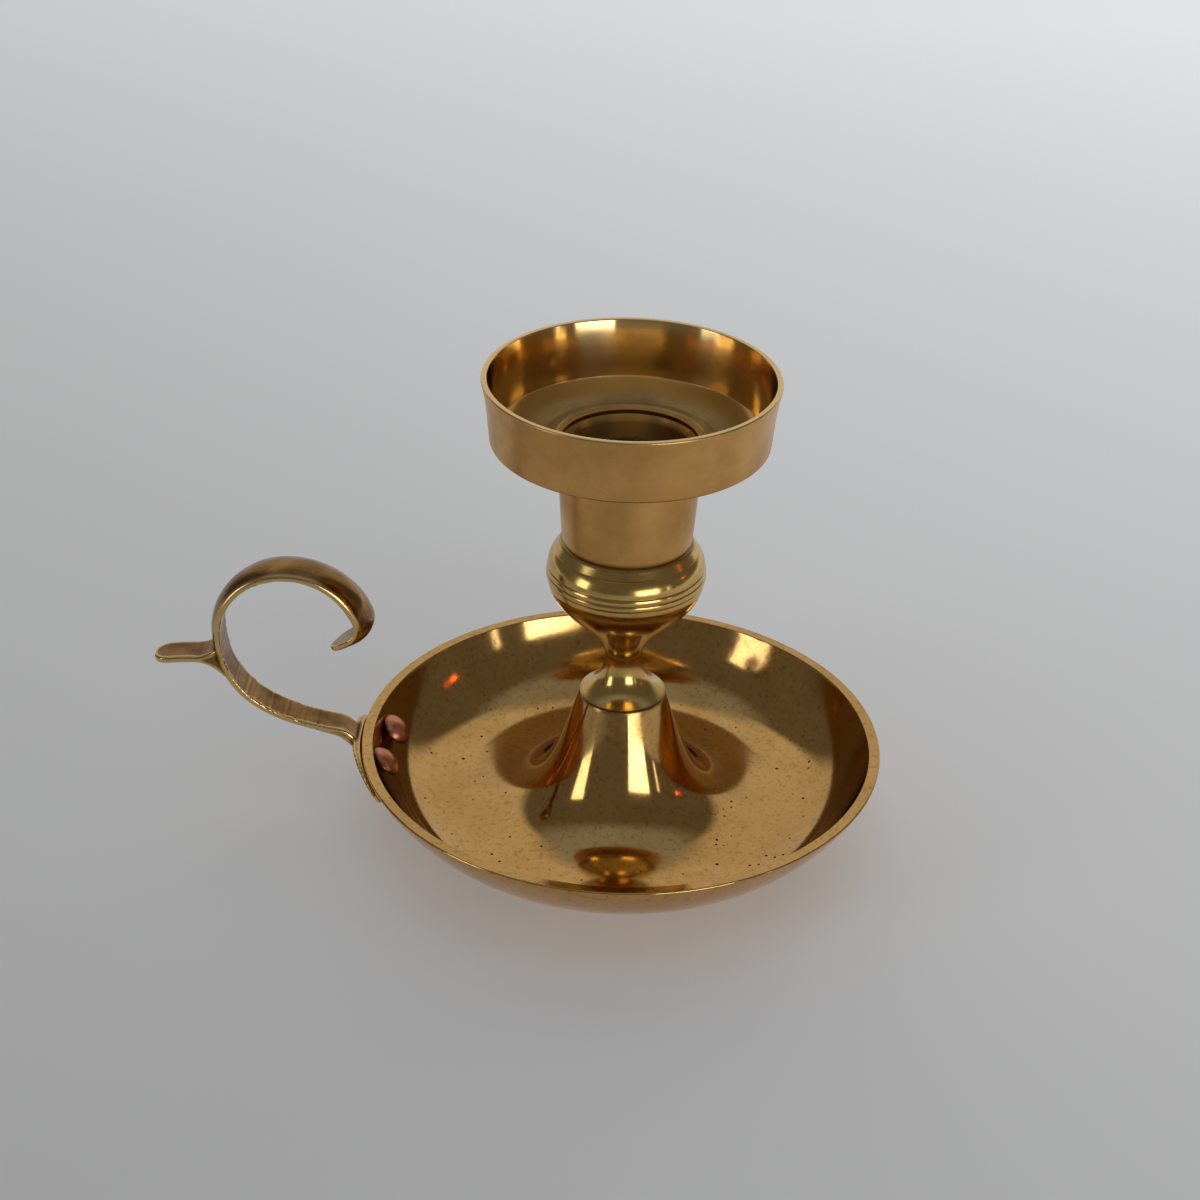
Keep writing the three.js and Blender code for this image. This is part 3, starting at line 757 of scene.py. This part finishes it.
# %% [markdown]
# ## The bolt and the screw
# A countersunk bolt ties dish, pedestal and stem together, and a screw in the floor of the tube holds
# it to the knop. Both are spun. Each has a slot for a driver, cut with a Boolean by a thin box, which
# is the one shape here that a lathe can't give.

# %% Slotted heads
SLOT = 0.9
SLOT_LENGTH = 12.0
SLOT_SHARP = math.radians(35)


def slotted(name, outline, level, depth):
    """A spun bolt or screw with a driver's slot cut across its head at this level."""
    piece = piece_from(spin_outline(soften(outline), False, SMALL_STEPS), name)
    bm = bmesh.new()
    size = Matrix.Diagonal((SLOT_LENGTH * MM, SLOT * MM, 2 * depth * MM, 1.0))
    bmesh.ops.create_cube(bm, size=1.0, matrix=Matrix.Translation((0, 0, level * MM)) @ size)
    cutter = piece_from(bm, "slot_cutter")
    cut = piece.modifiers.new("slot", "BOOLEAN")
    cut.object = cutter
    cut.solver = "EXACT"
    settled(piece)
    bpy.data.meshes.remove(cutter.data)
    piece.data.set_sharp_from_angle(angle=SLOT_SHARP)
    print(name, "has", len(piece.data.polygons), "faces")
    return piece


print("a slot is", SLOT, "mm wide")

# %% Bolt and screw
BOLT = 2.0
BOLT_TOP = 30.6
SCREW = 1.5
SCREW_HEAD = 3.4
SCREW_RISE = 0.85
SCREW_FOOT = SOCKET_FLOOR - 12.0

bolt_outline = [(0.0, 0.0), (BOLT_HEAD, 0.0, 0.12), (BOLT, BOLT_DEPTH)]
bolt_outline += [(BOLT, BOLT_TOP - 0.5), (BOLT - 0.5, BOLT_TOP), (0.0, BOLT_TOP)]
tie_bolt = slotted("tie_bolt_slotted", bolt_outline, 0.0, 0.9)
screw_outline = [(0.0, SCREW_FOOT), (SCREW, SCREW_FOOT), (SCREW, SOCKET_FLOOR)]
screw_outline += [(SCREW_HEAD, SOCKET_FLOOR, 0.1)]
screw_outline += dome(SOCKET_FLOOR + SCREW_RISE, SCREW_HEAD, SCREW_RISE, 16)
screw_outline[-1] = (0.0, screw_outline[-1][1])
socket_screw = slotted("socket_screw_slotted", screw_outline, SOCKET_FLOOR + 2 * SCREW_RISE, 0.8)

# %% [markdown]
# ## Finishes
# Everything but the rivets is brass, an alloy of copper and zinc that ages from pale gold to brown.
# What the eye reads is the making: buffed to a mirror, turned with fine rings, or left as cast.
# Colours are written as sRGB hex and turned to linear by one function, and one small function adds
# every node. A Mix node of colours has them at inputs 6 and 7 and its result at output 2, and a Map
# Range node has its old range at inputs 1 and 2 and its new one at 3 and 4.

# %% Helpers for materials
def hue(code):
    """Linear colour of an sRGB hex value."""
    parts = [int(code[i:i + 2], 16) / 255 for i in (1, 3, 5)]
    return (*[c / 12.92 if c <= 0.04045 else ((c + 0.055) / 1.055) ** 2.4 for c in parts], 1.0)


def node(tree, kind, sockets=None, out=0, **settings):
    """Adds one node with its settings, gives inputs a value or a link, and returns one output."""
    made = tree.nodes.new("ShaderNode" + kind)
    for name, value in settings.items():
        setattr(made, name, value)
    for socket, value in (sockets or {}).items():
        if isinstance(value, bpy.types.NodeSocket):
            tree.links.new(value, made.inputs[socket])
        else:
            made.inputs[socket].default_value = value
    return made.outputs[out] if made.outputs else None


def new_material(name):
    """An empty material and its node tree."""
    material = bpy.data.materials.new(name)
    material.use_nodes = True
    material.node_tree.nodes.clear()
    print("material", name)
    return material, material.node_tree


def per_mm(size):
    """Texture scale for a pattern whose features are this many millimetres apart."""
    return 1.0 / (size * MM)


print("half of white in sRGB is %.2f in linear light" % hue("#808080")[0])

# %% [markdown]
# ### Pits, dirt and painted shade
# Casting leaves small round pits, and buffing closes most of them. Noise would give ragged spots, so
# each cell of a Voronoi pattern can hold one pit: a colour that is random for each cell chooses which
# cells do, and how large the pit is. Dirt stays in the pits. A thin dark line at each joint is dirt and
# painted shade, and the bore is made darker below a ragged line a little under the lip.

# %% Pits, dirt and painted shade
PIT_SPACING = 1.4


def casting_pits(tree, coords, rare, largest, edge, share):
    """Share of pit: how rare they are, their largest radius and soft edge in cells, how deep they are."""
    cells = node(tree, "TexVoronoi", {"Vector": coords, "Scale": per_mm(PIT_SPACING)}).node.outputs
    chosen = node(tree, "SeparateColor", {0: cells["Color"]})
    size = node(tree, "MapRange", {0: chosen, 1: rare, 2: 1.0, 3: 0.0, 4: largest})
    depth = node(tree, "Math", {0: size, 1: cells["Distance"]}, operation="SUBTRACT")
    return node(tree, "MapRange", {0: depth, 1: 0.0, 2: edge, 3: 0.0, 4: share})


def joint_dirt_and_shade(tree, dark, level, blotch, joints):
    """Adds an uneven dark line at the height of each joint: dirt, and painted shade where the parts meet.
    """
    for joint in joints:
        off = node(tree, "Math", {0: level, 1: joint * MM}, operation="SUBTRACT")
        off = node(tree, "Math", {0: off}, operation="ABSOLUTE")
        # The dark line at a joint is dirt, and painted shade where the parts meet
        line = node(tree, "MapRange", {0: off, 1: 0.1 * MM, 2: 0.75 * MM, 3: 0.85, 4: 0.0})
        line = node(tree, "Math", {0: line, 1: blotch}, operation="MULTIPLY")
        dark = node(tree, "Math", {0: dark, 1: line}, operation="MAXIMUM")
    return dark


def bore_darkening(tree, dark, level, grain, top):
    """Makes the colour darker below a ragged line at this height, deep in the bore."""
    ragged = node(tree, "Math", {0: grain, 1: -1.5 * MM, 2: level}, operation="MULTIPLY_ADD")
    black = node(tree, "MapRange", {0: ragged, 1: (top - 2.0) * MM, 2: (top - 0.5) * MM, 3: 0.95, 4: 0.0})
    return node(tree, "Math", {0: dark, 1: black}, operation="MAXIMUM")


print("pits are", PIT_SPACING, "mm apart or more")

# %% [markdown]
# ### Turned and buffed brass
# A lathe leaves rings as fine as 0.05 mm. Buffing wears them away on the dish and column, where only
# casting pits, a little brown tarnish and a haze of hairlines are left, so these read as dull mirrors.
# On the cup and tube the rings are still there: light slides along each ring but scatters across it,
# so a window becomes a streak that runs up the wall. That is what anisotropy gives, with its tangent
# along the outline. The rings are drawn at 0.3 mm, as finer ones would be lost in the picture. They
# follow radius and height, with a slow drift across X, so that no ring is even all the way round.

# %% Turned brass
RING_SPACING = 0.3
RING_DRIFT = 0.012
BLOTCH_SIZE = 11.0
GRAIN_SIZE = 0.9
PIT_FADE = (4.5, 8.0)
FRECKLE = "#7A5628"
# Dark brown of pits, bore and joints: dirt, and painted shade at the joints
DIRT_AND_SHADE = "#2C1E10"


def turned_places(tree):
    """Coordinates of a turned piece: as they are, one by one, and as points of its outline."""
    coords = node(tree, "TexCoord", out="Object")
    place = node(tree, "SeparateXYZ", {0: coords}).node.outputs
    flat = node(tree, "CombineXYZ", {0: place[0], 1: place[1]})
    radius = node(tree, "VectorMath", {0: flat}, "Value", operation="LENGTH")
    drift = node(tree, "Math", {0: place[0], 1: RING_DRIFT}, operation="MULTIPLY")
    return coords, place, node(tree, "CombineXYZ", {0: radius, 1: place[2], 2: drift})


def turned_brass(name, colour, stained, shine, across_rings, ring_mark, pits, joints, darkening_top=0.0):
    """Brass off a lathe: its clean and stained tones, its roughness, how far light spreads across
    the rings, how strong rings and pits are, the heights of joints with a dark line of dirt and painted
    shade, and the height below which the bore turns dark."""
    material, tree = new_material(name)
    coords, place, outline = turned_places(tree)
    rings = node(tree, "TexNoise", {
        "Vector": outline, "Scale": per_mm(RING_SPACING), "Detail": 3.0, "Roughness": 0.6})
    blotch = node(tree, "TexNoise", {
        "Vector": coords, "Scale": per_mm(BLOTCH_SIZE), "Detail": 7.0, "Roughness": 0.62})
    grain = node(tree, "TexNoise", {
        "Vector": coords, "Scale": per_mm(GRAIN_SIZE), "Detail": 4.0, "Roughness": 0.7})

    stain = node(tree, "MapRange", {0: blotch, 1: 0.4, 2: 0.72, 3: 0.0, 4: 0.75})
    tone = node(tree, "Mix", {0: stain, 6: hue(colour), 7: hue(stained)}, 2, data_type="RGBA")
    ringed = node(tree, "MapRange", {
        0: rings, 1: 0.25, 2: 0.75, 3: 1.0 - 2.2 * ring_mark, 4: 1.0 + ring_mark})
    tone = node(tree, "Mix", {0: 1.0, 6: tone, 7: ringed}, 2, data_type="RGBA", blend_type="MULTIPLY")
    freckle = node(tree, "MapRange", {0: grain, 1: 0.52, 2: 0.72, 3: 0.0, 4: 0.6 * pits})
    tone = node(tree, "Mix", {0: freckle, 6: tone, 7: hue(FRECKLE)}, 2, data_type="RGBA")

    pit = casting_pits(tree, coords, 0.56, 0.24, 0.05, pits)
    low = node(tree, "MapRange", {
        0: place[2], 1: PIT_FADE[0] * MM, 2: PIT_FADE[1] * MM, 3: 1.0, 4: 0.12})
    pit = node(tree, "Math", {0: pit, 1: low}, operation="MULTIPLY")
    # The bore turns near black below a ragged line a little under the lip
    dark = bore_darkening(tree, pit, place[2], grain, darkening_top) if darkening_top else pit
    dark = joint_dirt_and_shade(tree, dark, place[2], blotch, joints)
    tone = node(tree, "Mix", {0: dark, 6: tone, 7: hue(DIRT_AND_SHADE)}, 2, data_type="RGBA")

    rough = node(tree, "MapRange", {0: blotch, 1: 0.3, 2: 0.75, 3: shine * 0.8, 4: shine * 1.5})
    rough = node(tree, "Math", {0: dark, 1: 0.4, 2: rough}, operation="MULTIPLY_ADD")
    height = node(tree, "Math", {0: rings, 1: ring_mark * 3.0, 2: grain}, operation="MULTIPLY_ADD")
    height = node(tree, "Math", {0: pit, 1: -4.0, 2: height}, operation="MULTIPLY_ADD")
    relief = node(tree, "Bump", {
        "Height": height, "Strength": 0.12 - 0.1 * across_rings, "Distance": 0.02 * MM})
    face = node(tree, "NewGeometry", out="Normal")
    around = node(tree, "VectorMath", {0: (0.0, 0.0, 1.0), 1: coords}, operation="CROSS_PRODUCT")
    along = node(tree, "VectorMath", {0: around, 1: face}, operation="CROSS_PRODUCT")
    shade = node(tree, "BsdfPrincipled", {
        "Base Color": tone, "Metallic": 1.0, "Roughness": rough, "Normal": relief,
        "Anisotropic": across_rings, "Tangent": along})
    node(tree, "OutputMaterial", {"Surface": shade})
    return material


print("lathe rings are drawn", RING_SPACING, "mm apart")

# %% Brass of each turned piece
# Dish and pedestal: buffed to a dull mirror with sharp reflections, pits and brown freckles
buffed_brass = turned_brass(
    "buffed_turned_brass", "#D3A664", "#BD9050", 0.09, 0.0, 0.015, 1.0, (PED_TOP,))
# Stem: rubbed by hands, so paler, with softer reflections
column_brass = turned_brass(
    "hand_rubbed_brass", "#DCB56A", "#B39050", 0.16, 0.0, 0.02, 0.5, (PED_TOP, STEM_TOP))
# Outside of tube and cup: satin, a broad glow with no clear reflection
satin_brass = turned_brass(
    "satin_turned_brass", "#D9A762", "#B38347", 0.29, 0.5, 0.015, 0.0, (STEM_TOP, CUP_SEAT))
# Inside of the cup: ringed, which draws the windows out to upright streaks
ringed_brass = turned_brass(
    "ringed_cup_brass", "#F0CE90", "#E0BA7A", 0.14, 0.8, 0.04, 0.0, (SEAT_TOP,))
# Bore: ringed and rough, near black from a little below the lip
dark_bore_brass = turned_brass(
    "darkened_bore_brass", "#E3B870", "#B98C4C", 0.38, 0.9, 0.04, 0.0, (), SEAT_TOP - 4.6)

# %% [markdown]
# ### Cast brass
# The handle was cast in sand and filed, not turned. Its edges shine where hands rub them, its flat
# faces are brown with tarnish in soft patches, and the patches keep casting pits. Its inner corners are
# dark with tarnish and painted shade. The tone follows the attribute of edges and hollows, so it sits
# on the real edges and corners.

# %% Cast brass
# Cast brass: bright rubbed edges round brown, inner corners dark with tarnish and painted shade, pitted
# faces with a soft shine
cast_brass, tree = new_material("cast_antique_brass")
coords = node(tree, "TexCoord", out="Object")
wear_and_shade = node(tree, "Attribute", out="Fac", attribute_name="wear_and_shade")
blotch = node(tree, "TexNoise", {
    "Vector": coords, "Scale": per_mm(6.0), "Detail": 7.0, "Roughness": 0.65})
grain = node(tree, "TexNoise", {
    "Vector": coords, "Scale": per_mm(0.8), "Detail": 4.0, "Roughness": 0.6})
edge = node(tree, "MapRange", {0: wear_and_shade, 1: 0.12, 2: 0.6, 3: 0.0, 4: 1.0})
# Inner corners darken to a near-black brown: tarnish, and painted shade
hollow = node(tree, "MapRange", {0: wear_and_shade, 1: -0.05, 2: -0.4, 3: 0.0, 4: 1.0})
tarnish = node(tree, "MapRange", {0: blotch, 1: 0.36, 2: 0.66, 3: 0.0, 4: 1.0})
tone = node(tree, "Mix", {0: tarnish, 6: hue("#9A7442"), 7: hue("#694827")}, 2, data_type="RGBA")
tone = node(tree, "Mix", {0: edge, 6: tone, 7: hue("#D6B276")}, 2, data_type="RGBA")
tone = node(tree, "Mix", {0: hollow, 6: tone, 7: hue("#3A2A18")}, 2, data_type="RGBA")
pit = casting_pits(tree, coords, 0.6, 0.2, 0.06, 1.0)
pit = node(tree, "Math", {0: pit, 1: tarnish}, operation="MULTIPLY")
tone = node(tree, "Mix", {0: pit, 6: tone, 7: hue("#241809")}, 2, data_type="RGBA")
rough = node(tree, "MapRange", {0: blotch, 1: 0.35, 2: 0.7, 3: 0.13, 4: 0.3})
height = node(tree, "Math", {0: pit, 1: -3.0, 2: grain}, operation="MULTIPLY_ADD")
relief = node(tree, "Bump", {"Height": height, "Strength": 0.3, "Distance": 0.05 * MM})
shade = node(tree, "BsdfPrincipled", {
    "Base Color": tone, "Metallic": 1.0, "Roughness": rough, "Normal": relief})
node(tree, "OutputMaterial", {"Surface": shade})

# %% [markdown]
# ### Hammered copper
# The rivets are soft copper, hammered to domes and rubbed pink on top. The hammer leaves a faint
# unevenness that softens reflections, and dirt stays in the ring round each head.

# %% Hammered copper
# Copper: a soft pink shine on top of each head and a dark line round it
copper, tree = new_material("hammered_copper")
coords = node(tree, "TexCoord", out="Object")
rim = node(tree, "Attribute", out="Fac", attribute_name="rim_share")
mottle = node(tree, "TexNoise", {
    "Vector": coords, "Scale": per_mm(1.6), "Detail": 5.0, "Roughness": 0.6})
dull = node(tree, "MapRange", {0: mottle, 1: 0.4, 2: 0.7, 3: 0.0, 4: 1.0})
tone = node(tree, "Mix", {0: dull, 6: hue("#E09470"), 7: hue("#C87C5A")}, 2, data_type="RGBA")
dirt = node(tree, "MapRange", {0: rim, 1: 0.86, 2: 1.0, 3: 0.0, 4: 0.85})
tone = node(tree, "Mix", {0: dirt, 6: tone, 7: hue("#2E1A10")}, 2, data_type="RGBA")
rough = node(tree, "MapRange", {0: mottle, 1: 0.35, 2: 0.7, 3: 0.27, 4: 0.38})
relief = node(tree, "Bump", {"Height": mottle, "Strength": 0.04, "Distance": 0.04 * MM})
shade = node(tree, "BsdfPrincipled", {
    "Base Color": tone, "Metallic": 1.0, "Roughness": rough, "Normal": relief})
node(tree, "OutputMaterial", {"Surface": shade})

# %% [markdown]
# ### A finish for each piece
# Each piece gets its finish. Cup and tube get a second one on the inside. Their meshes needn't be cut
# for that: the faces that look towards the axis or up, above the floor, take the second material.

# %% Finishes on the pieces
FACES_UP = 0.6

for piece, material in (
    (dish, buffed_brass), (pedestal, buffed_brass), (tie_bolt, buffed_brass),
    (socket_screw, buffed_brass), (stem, column_brass), (socket, satin_brass), (cup, satin_brass),
    (handle, cast_brass), (rivet_front, copper), (rivet_rear, copper),
):
    piece.data.materials.clear()
    piece.data.materials.append(material)
for piece, floor_level, inner in ((cup, SEAT_TOP, ringed_brass), (socket, SOCKET_FLOOR, dark_bore_brass)):
    piece.data.materials.append(inner)
    for face in piece.data.polygons:
        outward = face.center.x * face.normal.x + face.center.y * face.normal.y
        inside = outward < 0 or face.normal.z > FACES_UP
        if inside and face.center.z > (floor_level - 0.1) * MM:
            face.material_index = 1
    inner_faces = sum(face.material_index for face in piece.data.polygons)
    print(piece.name, "has", inner_faces, "inner faces")

# %% [markdown]
# ## The floor
# The object stands on a plain pale floor, which keeps its shadow. A white that comes only from lamps
# would need too much light on the metal. So the paper also shows a faint glow of its own to the camera
# and in reflections, stronger towards the back and the right, as daylight falls on it.

# %% Floor
FLOOR_SIZE = 20.0

bm = bmesh.new()
bmesh.ops.create_grid(bm, x_segments=1, y_segments=1, size=FLOOR_SIZE)
floor = piece_from(bm, "pale_floor")
# Paper: matt and nearly white, so only the shadow shows
floor_material, tree = new_material("pale_paper_floor")
coords = node(tree, "TexCoord", out="Object")
place = node(tree, "SeparateXYZ", {0: coords}).node.outputs
path = node(tree, "LightPath").node.outputs
seen = node(tree, "Math", {0: path["Is Camera Ray"], 1: path["Is Glossy Ray"]}, operation="MAXIMUM")
seen = node(tree, "Math", {0: seen, 1: path["Is Transmission Ray"]}, operation="MAXIMUM")
far = node(tree, "MapRange", {0: place["Y"], 1: -0.15, 2: 0.5, 3: 0.07, 4: 0.45})
wide = node(tree, "MapRange", {0: place["X"], 1: -0.25, 2: 0.25, 3: -0.11, 4: 0.11})
glow = node(tree, "Math", {0: far, 1: wide}, operation="ADD")
glow = node(tree, "Math", {0: glow, 1: seen}, operation="MULTIPLY")
paper = node(tree, "BsdfDiffuse", {"Color": hue("#EDEAE4")})
lit = node(tree, "Emission", {"Color": hue("#FAFCFF"), "Strength": glow})
both = node(tree, "AddShader", {0: paper, 1: lit})
node(tree, "OutputMaterial", {"Surface": both})
floor.data.materials.append(floor_material)
print("floor is", 2 * FLOOR_SIZE, "m wide")

# %% [markdown]
# ## The room
# Metal shows only what stands round it, so the room matters as much as the metal. An even white room
# would leave the brass flat. This plain studio is pale behind the object, bluish overhead and dim
# elsewhere, which gives polished brass its dark forms between light ones. The camera itself sees an
# even pale grey.

# %% Room
DIM = (0.135, 0.13, 0.125, 1.0)
OVERHEAD = (0.29, 0.33, 0.4, 1.0)
PALE = (0.6, 0.59, 0.57, 1.0)
BACKDROP = (0.62, 0.63, 0.65, 1.0)
EASE = "SMOOTHSTEP"

world = bpy.data.worlds.new("studio_room")
world.use_nodes = True
bpy.context.scene.world = world
tree = world.node_tree
tree.nodes.clear()
way = node(tree, "TexCoord", out="Generated")
place = node(tree, "SeparateXYZ", {0: way}).node.outputs
level = node(tree, "CombineXYZ", {0: place[0], 1: place[1]})
reach = node(tree, "VectorMath", {0: level}, "Value", operation="LENGTH")
facing = node(tree, "Math", {0: place[1], 1: reach}, operation="DIVIDE")
behind = node(tree, "MapRange", {0: facing, 1: 0.6, 2: 0.78, 3: 0.0, 4: 1.0}, interpolation_type=EASE)
below = node(tree, "MapRange", {0: place[2], 1: 0.77, 2: 0.92, 3: 1.0, 4: 0.0}, interpolation_type=EASE)
above = node(tree, "MapRange", {0: place[2], 1: 0.74, 2: 0.9, 3: 0.0, 4: 1.0}, interpolation_type=EASE)
back_wall = node(tree, "Math", {0: behind, 1: below}, operation="MULTIPLY")
tone = node(tree, "Mix", {0: above, 6: DIM, 7: OVERHEAD}, 2, data_type="RGBA")
tone = node(tree, "Mix", {0: back_wall, 6: tone, 7: PALE}, 2, data_type="RGBA")
direct = node(tree, "LightPath", out="Is Camera Ray")
tone = node(tree, "Mix", {0: direct, 6: tone, 7: BACKDROP}, 2, data_type="RGBA")
light = node(tree, "Background", {"Color": tone, "Strength": 1.0})
node(tree, "OutputWorld", {"Surface": light})
print("room has", len(tree.nodes), "nodes")

# %% [markdown]
# ## The windows
# Two windows stand in front, to the right and the left, with a narrow one beside the right one, and a
# small warm lamp with a faint glow stands at the right. They could be glowing planes, but area lamps
# render with less noise. The camera can't see them, and the metal can: they draw the bright streaks on
# the cone and the light patches in the dish. Each is placed by a bearing and a height.

# %% Windows
AWAY = 1.5
DAYLIGHT = "#F2F7FF"


def window(name, bearing, height, wide, tall, level, colour):
    """A soft lamp: bearing from the back towards +X, height and two sizes in degrees, brightness."""
    lamp = bpy.data.lights.new(name, "AREA")
    lamp.shape = "RECTANGLE"
    lamp.size = 2 * AWAY * math.tan(math.radians(wide / 2))
    lamp.size_y = 2 * AWAY * math.tan(math.radians(tall / 2))
    lamp.energy = level * math.pi * lamp.size * lamp.size_y
    lamp.color = hue(colour)[:3]
    holder = bpy.data.objects.new(name, lamp)
    turn = math.radians(bearing)
    rise = math.radians(height)
    flat = math.cos(rise)
    holder.location = Vector((math.sin(turn) * flat, math.cos(turn) * flat, math.sin(rise))) * AWAY
    holder.rotation_euler = holder.location.to_track_quat("Z", "Y").to_euler()
    holder.visible_camera = False
    bpy.context.collection.objects.link(holder)
    print("%s gives %.2f W" % (name, lamp.energy))


window("window_right", 149, 9.8, 31, 18.4, 4.5, DAYLIGHT)
window("window_left", -117, 12.5, 16, 24, 2.8, DAYLIGHT)
window("narrow_window", 118, 9.0, 3, 14, 2.0, DAYLIGHT)
window("warm_lamp", 90, 15, 3, 2.6, 3.0, "#FF8434")
window("warm_glow", 88, 14.6, 8, 3.4, 0.7, "#FF5A18")

# %% [markdown]
# ## The camera
# The rim of the cup and the rim of the dish are circles, and their two ellipses in the photograph fix
# the camera: its focal length, its place, and how it is turned. The axes of the camera are worked out
# from pitch, yaw and roll, so that nothing has to be aimed by eye.

# %% Camera
SENSOR = 36.0
FOCAL_PIXELS = 2363.46
PHOTO_PIXELS = 1200
CAMERA_PLACE = (0.0, -0.3409, 0.23914)
PITCH = math.radians(29.897)
YAW = math.radians(-0.706)
ROLL = math.radians(1.452)

lens = bpy.data.cameras.new("photo_view")
lens.sensor_width = SENSOR
lens.lens = SENSOR * FOCAL_PIXELS / PHOTO_PIXELS
forward = Vector((math.sin(YAW) * math.cos(PITCH), math.cos(YAW) * math.cos(PITCH), -math.sin(PITCH)))
level = Vector((math.cos(YAW), -math.sin(YAW), 0.0))
upright = level.cross(forward)
right = level * math.cos(ROLL) + upright * math.sin(ROLL)
up = upright * math.cos(ROLL) - level * math.sin(ROLL)
turned_to = Matrix((right, up, -forward)).transposed().to_4x4()
camera = bpy.data.objects.new("photo_view", lens)
camera.matrix_world = Matrix.Translation(CAMERA_PLACE) @ turned_to
bpy.context.collection.objects.link(camera)
bpy.context.scene.camera = camera
bpy.context.scene.view_settings.view_transform = "Standard"
print("camera has a lens of %.1f mm" % lens.lens)

# %% [markdown]
# ## Finish
# Nothing on a chamberstick moves, so every piece rides on the one body. Each piece stands for the CAD
# solid that it replaces, and that solid is hidden. The visual model has to stay inside the CAD's.

# %% Put each piece on the body
for piece, node_name, slot in (
    (dish, "dish", "brass_polished"),
    (pedestal, "pedestal", "brass_polished"),
    (stem, "stem", "brass_polished"),
    (socket, "candle_socket", "brass_satin"),
    (cup, "cup", "brass_satin"),
    (handle, "handle", "brass_cast"),
    (rivet_front, "rivet_front", "copper"),
    (rivet_rear, "rivet_rear", "copper"),
    (tie_bolt, "tie_bolt", "brass_polished"),
    (socket_screw, "socket_screw", "brass_polished"),
):
    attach(piece, "root")
    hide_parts(node_name)
